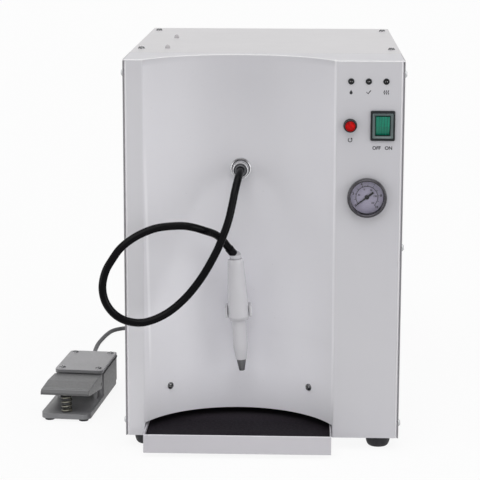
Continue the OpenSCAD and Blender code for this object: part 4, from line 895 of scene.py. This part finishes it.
def lay_cords():
    hose = cord_curve("steam_hose_run", hose_route, HOSE_D, "hose_black")
    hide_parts("steam_hose")
    sleeves = [
        strain_sleeve("pedal_cable_sleeve", pedal_exit, pedal_way),
        strain_sleeve("rear_cable_sleeve", GLAND_MOUTH, (0, 1, 0)),
    ]
    cable = cord_curve("pedal_cable_run", cable_route, CABLE_D, "cable_grey")
    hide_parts("pedal_cable", "cable_coil", "cable_tail")
    coil_tie()


# Pedal spring

SPRING_WIRE = 2.2
SPRING_D = 10.5
SPRING_BACK = 10
OPEN_TURNS = 3.5
END_TURNS = 0.75
END_PITCH = 1.9
TURN_STEPS = 28


def pedal_spring():
    """A coil spring with closed ends, wound by turning its wire's section as it rises."""
    low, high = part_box("pedal_spring")
    end_rise = END_PITCH * END_TURNS
    rise = (high.z - low.z) / MM - SPRING_WIRE - 2 * end_rise
    wire = SPRING_WIRE / 2 * MM
    stand = Matrix.Translation((SPRING_D / 2 * MM, 0, wire)) @ tilt(90, "X")
    bm = bmesh.new()
    ring = bmesh.ops.create_circle(bm, cap_ends=True, segments=12, radius=wire, matrix=stand)
    section = ring["verts"] + bm.edges[:] + bm.faces[:]
    for turns, lift in ((END_TURNS, end_rise), (OPEN_TURNS, rise), (END_TURNS, end_rise)):
        steps = round(TURN_STEPS * turns)
        section = bmesh.ops.spin(
            bm, geom=section, cent=(0, 0, 0), axis=(0, 0, 1), dvec=(0, 0, lift * MM / steps),
            angle=TURN * turns, steps=steps, use_merge=False,
        )["geom_last"]
    sealed(bm)
    base = at(*(PEDAL_FRONT + SPRING_BACK * pedal_way))
    base.z = low.z
    mesh = shaped("pedal_coil_spring", bm, Matrix.Translation(base))
    made = show("pedal_coil_spring", mesh, "spring_steel")
    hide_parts("pedal_spring")
    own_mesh(made)


# Controls

# Lamps, button and switch: their middles on the front, then what stands out of it
LAMPS = (92.9, 111.5, 130.1)
LAMP_Z = 393
LAMP_DOME = 2.0
POST_R = 0.36
POST_ASIDE = 0.9
BUTTON = (92.5, 346)
CAP_R = 5.3
CAP_DEPTH = 14.3
CAP_OUT = 10
SWITCH = (127, 346)
BEZEL_OUT = 2.4

# Gauge: its case and ring, then dial, scale and needle
GAUGE = (111.5, 268.5)
GAUGE_R = 20
GAUGE_IN = 16.4
GAUGE_DEPTH = 24
STEM_R = 5
STEM_END = 38
RING_R = 21.2
RING_IN = 18.1
RING_LIP = 7.3
GLASS_R = 18.8
DIAL_OUT = -2.2
SCALE_R = 11.6
SCALE_TURN = 264
SCALE_STROKES = 50
NEEDLE_OUT = -1.2
NEEDLE_REST = 218
NEEDLE_T = 0.6
HUB_R = 2.4

# Print: how far it stands off, the share of its font's capitals, its boldness and its places
PRINT = 0.03
CAPITAL = 0.73
BOLD = 0.045
LAMP_SIGN_Z = 381.6
BUTTON_SIGN_Z = 330.4
WORDS_Z = 321.9
WORDS_H = 3.7


def ribbon(bm, points, width):
    """A flat line of ink through the points, in the local X and Y plane."""
    sides = []
    for i, (x, y) in enumerate(points):
        before, after = points[max(i - 1, 0)], points[min(i + 1, len(points) - 1)]
        way = Vector((after[0] - before[0], after[1] - before[1])).normalized()
        side = Vector((-way.y, way.x)) * width / 2
        sides.append([bm.verts.new(((x + s * side.x) * MM, (y + s * side.y) * MM, 0)) for s in (1, -1)])
    for (left, right), (next_left, next_right) in zip(sides, sides[1:]):
        bm.faces.new((right, next_right, next_left, left))


def lettering(name, words, height):
    """Flat letters of this height about the origin, as a mesh."""
    face = bpy.data.curves.new(name, "FONT")
    face.body = words
    face.size = height * MM / CAPITAL
    face.offset = BOLD * height * MM
    face.align_x = "CENTER"
    face.align_y = "CENTER"
    holder = in_scene(name, face)
    mesh = bpy.data.meshes.new_from_object(holder.evaluated_get(bpy.context.evaluated_depsgraph_get()))
    bpy.data.objects.remove(holder)
    bpy.data.curves.remove(face)
    return mesh


def moved(mesh, x, y):
    mesh.transform(Matrix.Translation((x * MM, y * MM, 0)))
    return mesh


def inked(name, draw):
    """What draw puts into an empty bmesh, as a flat mesh."""
    bm = bmesh.new()
    draw(bm)
    return as_mesh(name, bm)


def filled(bm, points):
    return bm.faces.new([bm.verts.new((x * MM, y * MM, 0)) for x, y in points])


def drop_mark(bm):
    """A drop: water level."""
    filled(bm, [(0, 2.6)] + arc(0, -0.7, 1.65, 150, 390, 16))


def tick_mark(bm):
    """A tick: ready."""
    ribbon(bm, [(-2.2, 0.2), (-0.7, -1.6), (2.4, 2.0)], 1.0)


def heat_mark(bm):
    """Three rising waves: heating."""
    for x in (-2.1, 0, 2.1):
        ribbon(bm, [(x + 0.45 * math.sin(t * 0.9), -2.2 + 0.44 * t) for t in range(11)], 0.85)


def again_mark(bm):
    """A turning arrow: heat once more."""
    ribbon(bm, arc(0, 0, 2.0, 110, 395, 20), 0.8)
    filled(bm, [(0.5, 0.9), (2.7, 1.3), (1.3, 2.9)])


def front_print():
    """Signs under the lamps and the button, and the two words under the switch."""
    signs = [(draw, x, LAMP_SIGN_Z) for draw, x in zip((drop_mark, tick_mark, heat_mark), LAMPS)]
    signs.append((again_mark, BUTTON[0], BUTTON_SIGN_Z))
    meshes = [moved(inked("sign", draw), x, z) for draw, x, z in signs]
    meshes.append(moved(lettering("switch_words", "OFF   ON", WORDS_H), SWITCH[0], WORDS_Z))
    whole = joined("front_print", meshes)
    whole.transform(on_front(0, 0, PRINT))
    show("front_print", whole, "bezel_black", INK)


def on_dial(radius, share):
    """A point of the dial at this radius, after a share of the scale's turn."""
    angle = deg(NEEDLE_REST - SCALE_TURN * share)
    return radius * math.cos(angle), radius * math.sin(angle)


def dial_scale(bm):
    """The scale's arc and its strokes, every fifth one longer and thicker."""
    ribbon(bm, arc(0, 0, SCALE_R, NEEDLE_REST, NEEDLE_REST - SCALE_TURN, 90), 0.5)
    for i in range(SCALE_STROKES + 1):
        long, thick = (1.9, 0.6) if i % 5 == 0 else (1.0, 0.34)
        ribbon(bm, [on_dial(r, i / SCALE_STROKES) for r in (SCALE_R - 0.1, SCALE_R + long)], thick)


def dial_print():
    """Scale of the gauge, with plain numbers outside and inside it."""
    meshes = [inked("scale", dial_scale)]
    for i in range(6):
        for unit, height, radius in ((2, 2.5, SCALE_R + 3.6), (30, 1.8, SCALE_R - 2.8)):
            number = lettering("number", str(unit * i), height)
            meshes.append(moved(number, *on_dial(radius, i / 5)))
    whole = joined("dial_print", meshes)
    whole.transform(on_front(*GAUGE, DIAL_OUT + PRINT))
    show("dial_print", whole, "needle_black", INK)


def gauge_ring():
    """Case of the gauge with its rounded metal ring, and the black wall between dial and glass."""
    middle, half = (RING_R + RING_IN) / 2, (RING_R - RING_IN) / 2
    back = -GAUGE_DEPTH
    floor = back + 1.2
    outline = [(0, back), (GAUGE_R, back), (GAUGE_R, 0), (RING_R, 0)]
    outline += [(middle + half * x, 5.4 + 2.6 * y) for x, y in arc(0, 0, 1, 0, 90, 8)]
    outline += [(middle - half * y, RING_LIP + 0.7 * x) for x, y in arc(0, 0, 1, 0, 80, 6)]
    outline += [(RING_IN, RING_LIP), (GLASS_R, RING_LIP), (GLASS_R, -3), (GAUGE_IN, -3)]
    outline += [(GAUGE_IN, floor), (0, floor)]
    place = on_front(*GAUGE)
    case = turned("gauge_ring", outline, place, 96)
    stem = [(0, -STEM_END), (STEM_R, -STEM_END), (STEM_R, back + 0.6), (0, back + 0.6)]
    made = show_joined("gauge_ring", [case, turned("gauge_stem", stem, place, 32)], "gauge_black")
    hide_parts("gauge_case")
    outer, inner = GLASS_R - 0.05, GLASS_R - 0.45
    wall = [(outer, DIAL_OUT), (outer, 5.5), (inner, 5.5), (inner - 0.65, DIAL_OUT), (outer, DIAL_OUT)]
    show_turned("gauge_wall", wall, place, 96, "needle_black")


def gauge_needle():
    """Needle with a broad tail and a turned hub."""
    bm = bmesh.new()
    half = [(-8.8, 1.15), (-1.5, 1.0), (0, 0.95), (14.8, 0.32)]
    low = filled(bm, [(x, -y) for x, y in half] + half[::-1])
    raise_by(bm, bmesh.ops.extrude_face_region(bm, geom=[low])["geom"], NEEDLE_T)
    sealed(bm)
    place = on_front(*GAUGE, NEEDLE_OUT)
    hand = shaped("gauge_hand", bm, place @ tilt(NEEDLE_REST, "Z"))
    hub = [(0, -4.8), (0.8, -4.8), (0.8, -0.6), (HUB_R, -0.6), (HUB_R, 0.8), (1.7, 1.2), (0.7, 1.2)]
    hub += [(0.6, 1.5), (0, 1.5)]
    meshes = [hand, turned("gauge_hub", hub, place, 40)]
    made = show_joined("gauge_hand", meshes, "needle_black", body="needle")
    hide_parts("gauge_needle")


def button_cap():
    """Red cap: rounded rim, a groove and a low dome."""
    outline = [(0, -CAP_DEPTH), (CAP_R, -CAP_DEPTH), (CAP_R, 7.9)]
    outline += [(CAP_R - 0.8 + 0.8 * x, 8.1 + 1.2 * y) for x, y in arc(0, 0, 1, 0, 90, 5)]
    outline += [(4.25, 9.25), (4.15, 8.8), (3.85, 8.8)]
    outline += [(3.8 * x, CAP_OUT - 1 + y) for x, y in arc(0, 0, 1, 10, 90, 7)]
    outline[-1] = (0, CAP_OUT)
    cap = turned("button_cap", outline, on_front(*BUTTON), 56)
    made = show("button_cap", cap, "button_red", body="button")
    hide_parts("reheat_button")


def framed(name, rings, place, corner=4):
    """A frame of rounded rectangles, each joined to the next and the last to the first.

    A ring is its width, its height, the radius of its corners and how far out it stands.
    """
    bm = bmesh.new()
    loops = []
    for width, height, radius, out in rings:
        points = []
        for quarter, (sx, sy) in enumerate(((1, 1), (-1, 1), (-1, -1), (1, -1))):
            x, y = sx * (width / 2 - radius), sy * (height / 2 - radius)
            points += arc(x, y, radius, 90 * quarter, 90 * quarter + 90, corner)
        verts = [bm.verts.new((x * MM, y * MM, out * MM)) for x, y in points]
        loops.append([bm.edges.new(pair) for pair in zip(verts, verts[1:] + verts[:1])])
    for first, second in zip(loops, loops[1:] + loops[:1]):
        bmesh.ops.bridge_loops(bm, edges=first + second)
    sealed(bm)
    return shaped(name, bm, place)


def switch_frame():
    """Grey collar round the rocker, sloping inwards."""
    outer, edge, hole = (22.0, 26.6, 1.0), (21.3, 25.9, 0.9), (16.6, 21.8, 0.5)
    steps = ((outer, -0.1), (outer, 1.5), (edge, 1.8), (hole, 0.1), (hole, -0.1))
    rings = [(*ring, BEZEL_OUT + out) for ring, out in steps]
    mesh = framed("switch_frame", rings, on_front(*SWITCH))
    show("switch_frame", mesh, "bezel_black", FRAME_GREY)


def lamp_glint_posts():
    """Two bright posts in each lamp, its LED's leads, standing out of the lens as painted glints."""
    out = math.sqrt(LAMP_DOME ** 2 - POST_ASIDE ** 2)
    outline = [(0, out - 0.6), (POST_R, out - 0.6), (POST_R, out + 0.1), (0.2, out + 0.2), (0, out + 0.22)]
    places = [on_front(x + aside, LAMP_Z) for x in LAMPS for aside in (-POST_ASIDE, POST_ASIDE)]
    show_joined("lamp_glint_posts", [turned("post", outline, place, 16) for place in places], "screw_bright")


# Pedal lid

CASE_TOP = 37
LID_SEAT = 0.8
PEDAL_W = 58
CASE_LEN = 85


def pedal_place(x, y, z):
    """A place on the pedal: from the middle of its front, on the ground."""
    front = at(PEDAL_FRONT.x, PEDAL_FRONT.y, 0)
    front.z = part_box("feet")[0].z
    stand = Matrix.Translation(front) @ Matrix.Rotation(-PEDAL_TURN, 4, "Z")
    return stand @ Matrix.Translation(Vector((x, y, z)) * MM)


def lid_gasket():
    """Black gasket between the pedal's case and its lid, bulging out of the seam: partly painted seam
    shade.
    """
    low, high = CASE_TOP + 0.03, CASE_TOP + LID_SEAT - 0.03
    outer = (PEDAL_W - 0.3, CASE_LEN - 0.3, 4.4)
    bulge = (PEDAL_W + 1.7, CASE_LEN + 0.3, 4.6)
    inner = (PEDAL_W - 2.6, CASE_LEN - 2.6, 4.4)
    rings = [(*outer, low), (*bulge, low - 0.4), (*bulge, high + 0.5), (*outer, high)]
    rings += [(*inner, high), (*inner, low)]
    place = pedal_place(0, PEDAL_LEN - CASE_LEN / 2, 0)
    show("lid_gasket", framed("lid_gasket", rings, place), "foot_rubber", SEAL_AND_SLOT_SHADE)


RIB_R = 1.0
RIB_PLACES = (4.2, 8.4)
# A height above the whole pedal
PLATE_CLEAR = 90


def plate_ribs():
    """Two low ribs across the front of the pedal's plate, sunk a little into it."""
    plate = frame["nodes"]["pedal_plate"]
    back = plate.matrix_world.inverted()
    lie = Matrix.Rotation(-PEDAL_TURN, 4, "Z") @ tilt(90, "Y")
    ribs = []
    for along in RIB_PLACES:
        above = pedal_place(0, along, PLATE_CLEAR).translation
        spot = plate.ray_cast(back @ above, back.to_3x3() @ Vector((0, 0, -1)))[1]
        middle = plate.matrix_world @ spot - Vector((0, 0, 0.45 * RIB_R * MM))
        ribs.append(rod("rib", RIB_R * MM, (PEDAL_W - 3) * MM, 20, Matrix.Translation(middle) @ lie))
    # Paler than the plate: painted highlights along the ribs
    show_joined("plate_ribs", ribs, "pedal_cast", RIB_PAINTED_LIGHT, "pedal")


# Hose fitting

NUT_FACE = 15.2


def hose_fitting():
    """Bright bead on the bulkhead, its seal, and the two rings that grip the hose."""
    place = on_front(FITTING.x, FITTING.z, -FITTING.y)
    bead = arc(10.3, 4.6, 1.15, 0, 360, 20)
    # Both beads carry painted shade over their tops
    show_turned("fitting_bead", bead, place, 72, "chrome_fitting", RING_BRIGHT)
    inner_bead = arc(7.9, NUT_FACE + 0.4, 0.45, 0, 360, 12)
    show_turned("nut_bead", inner_bead, place, 64, "chrome_fitting", RING_BRIGHT)
    show_turned("fitting_seal", arc(9.75, 6.0, 0.6, 0, 360, 12), place, 72, "foot_rubber")
    collar = [(5.95, NUT_FACE), (7.4, NUT_FACE), (7.4, 17.8), (7.1, 18.3), (6.2, 18.3), (5.95, 17.8)]
    show_turned("hose_collar", collar + collar[:1], place, 56, "ferrule_dark")
    lip = [(4.55, NUT_FACE), (5.9, NUT_FACE), (5.9, 18.9), (5.4, 19.4), (4.8, 19.1), (4.55, 18.4)]
    show_turned("hose_lip", lip + lip[:1], place, 56, "ferrule_dark", COLLAR_GREY)


# Panels

FOLD = 1.1


def folded_front():
    """The front panel with the soft fold of its upper edge."""
    source = frame["nodes"]["front_panel"]
    bm = bmesh.new()
    bm.from_mesh(source.data)
    bm.transform(source.matrix_world)
    bmesh.ops.remove_doubles(bm, verts=bm.verts, dist=2 * MERGE)
    bmesh.ops.dissolve_limit(bm, angle_limit=deg(0.3), verts=bm.verts, edges=bm.edges)
    top = max(v.co.z for v in bm.verts)
    edges = []
    for edge in bm.edges:
        if len(edge.link_faces) != 2 or any(v.co.z < top - 10 * MERGE for v in edge.verts):
            continue
        normals = [face.normal for face in edge.link_faces]
        if max(n.z for n in normals) > 0.99 and min(n.y for n in normals) < -0.2:
            edges.append(edge)
    bmesh.ops.bevel(
        bm, geom=edges, offset=FOLD * MM, offset_type="OFFSET", segments=5, profile=0.5,
        affect="EDGES", clamp_overlap=False, material=-1,
    )
    mesh = shaped("front_panel_folded", bm, Matrix(), 40)
    made = show("front_panel_folded", mesh, "panel_paint")
    weighted = made.modifiers.new("even_shading", "WEIGHTED_NORMAL")
    weighted.keep_sharp = True
    weighted.weight = 100
    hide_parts("front_panel")


HEM = 0.9


def tray_hem():
    """Rolled hem along the upper edge of the tray's front."""
    low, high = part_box("drip_tray")
    middle = Vector(((low.x + high.x) / 2, low.y + HEM * MM, high.z - 0.6 * HEM * MM))
    place = Matrix.Translation(middle) @ tilt(90, "Y")
    hem = rod("tray_hem", HEM * MM, high.x - low.x, 16, place)
    # Paler than the tray: a painted highlight along its hem
    show("tray_hem", hem, "tray_paint", HEM_PAINTED_HIGHLIGHT, "tray")


PLUGS = ((-111, 270), (-111.5, 132))
PLUG_H = 4.2


def top_plugs():
    """Two small painted bumps on the top."""
    outline = [(0, -0.2), (3.3, -0.2), (3.1, 0.1)]
    outline += [(3.0 * x, 0.2 + (PLUG_H - 0.2) * y) for x, y in arc(0, 0, 1, 5, 90, 8)]
    outline[-1] = (0, PLUG_H)
    places = [Matrix.Translation(at(x, y, CAB_H)) for x, y in PLUGS]
    plugs = [turned("plug", outline, place, 32) for place in places]
    show_joined("top_plugs", plugs, "top_paint", BUMP_GREY)


# Floor, backdrop and lamps

WHITE = (1, 1, 1, 1)
FLOOR_HALF = 16000
FLOOR_GLOW = 0.9
WORLD_LIGHT = 0.2
# Name, the way to it, strength and spread in degrees
STUDIO_LAMPS = (
    ("left_lamp", (-0.9, -0.42, 0.14), 0.78, 45),
    ("right_lamp", (0.9, -0.42, 0.14), 1.06, 45),
    ("front_lamp", (0.0, -0.64, 0.77), 0.64, 45),
    ("top_lamp", (0.0, -0.14, 0.99), 1.2, 70),
)


def in_view(start):
    """1 where the camera looks, straight or by way of metal and glass, and 0 where only light falls."""
    camera, glossy, through = [
        start.node("LightPath", output=f"Is {kind} Ray") for kind in ("Camera", "Glossy", "Transmission")
    ]
    return (camera + glossy + through).between(0, 1)


def set_floor():
    """A pale floor: white where it is looked at, with the object's shadow still on it."""
    bm = bmesh.new()
    bmesh.ops.create_grid(bm, x_segments=1, y_segments=1, size=FLOOR_HALF * MM)
    mesh = as_mesh("floor", bm)
    floor = in_scene("floor", mesh)
    made = Finish("floor_white", Base_Color=(0.9, 0.9, 0.9, 1), Roughness=0.9)
    glow = made.start.node("Emission", None, {"Color": WHITE, "Strength": 1.0})
    mix_shaders(made.tree, "Material Output", in_view(made.start) * FLOOR_GLOW, made.skin, glow)
    mesh.materials.append(made.material)


def set_world():
    """Even soft light from all round, and white behind the object."""
    world = bpy.data.worlds.new("studio")
    bpy.context.scene.world = world
    world.use_nodes = True
    tree = world.node_tree
    start = Wire(tree)
    soft = tree.nodes["Background"]
    soft.inputs["Color"].default_value = WHITE
    soft.inputs["Strength"].default_value = WORLD_LIGHT
    white = start.node("Background", None, {"Color": WHITE, "Strength": 1.0})
    mix_shaders(tree, "World Output", in_view(start), Wire(tree, soft.outputs[0]), white)
    bpy.context.scene.view_settings.view_transform = "Standard"


set_camera()
lay_cords()
dress_swivel()
pedal_spring()
front_print()
dial_print()
gauge_ring()
gauge_needle()
button_cap()
switch_frame()
lamp_glint_posts()
lid_gasket()
plate_ribs()
hose_fitting()
folded_front()
tray_hem()
top_plugs()
set_floor()
set_world()
for studio_lamp in STUDIO_LAMPS:
    add_lamp(*studio_lamp)
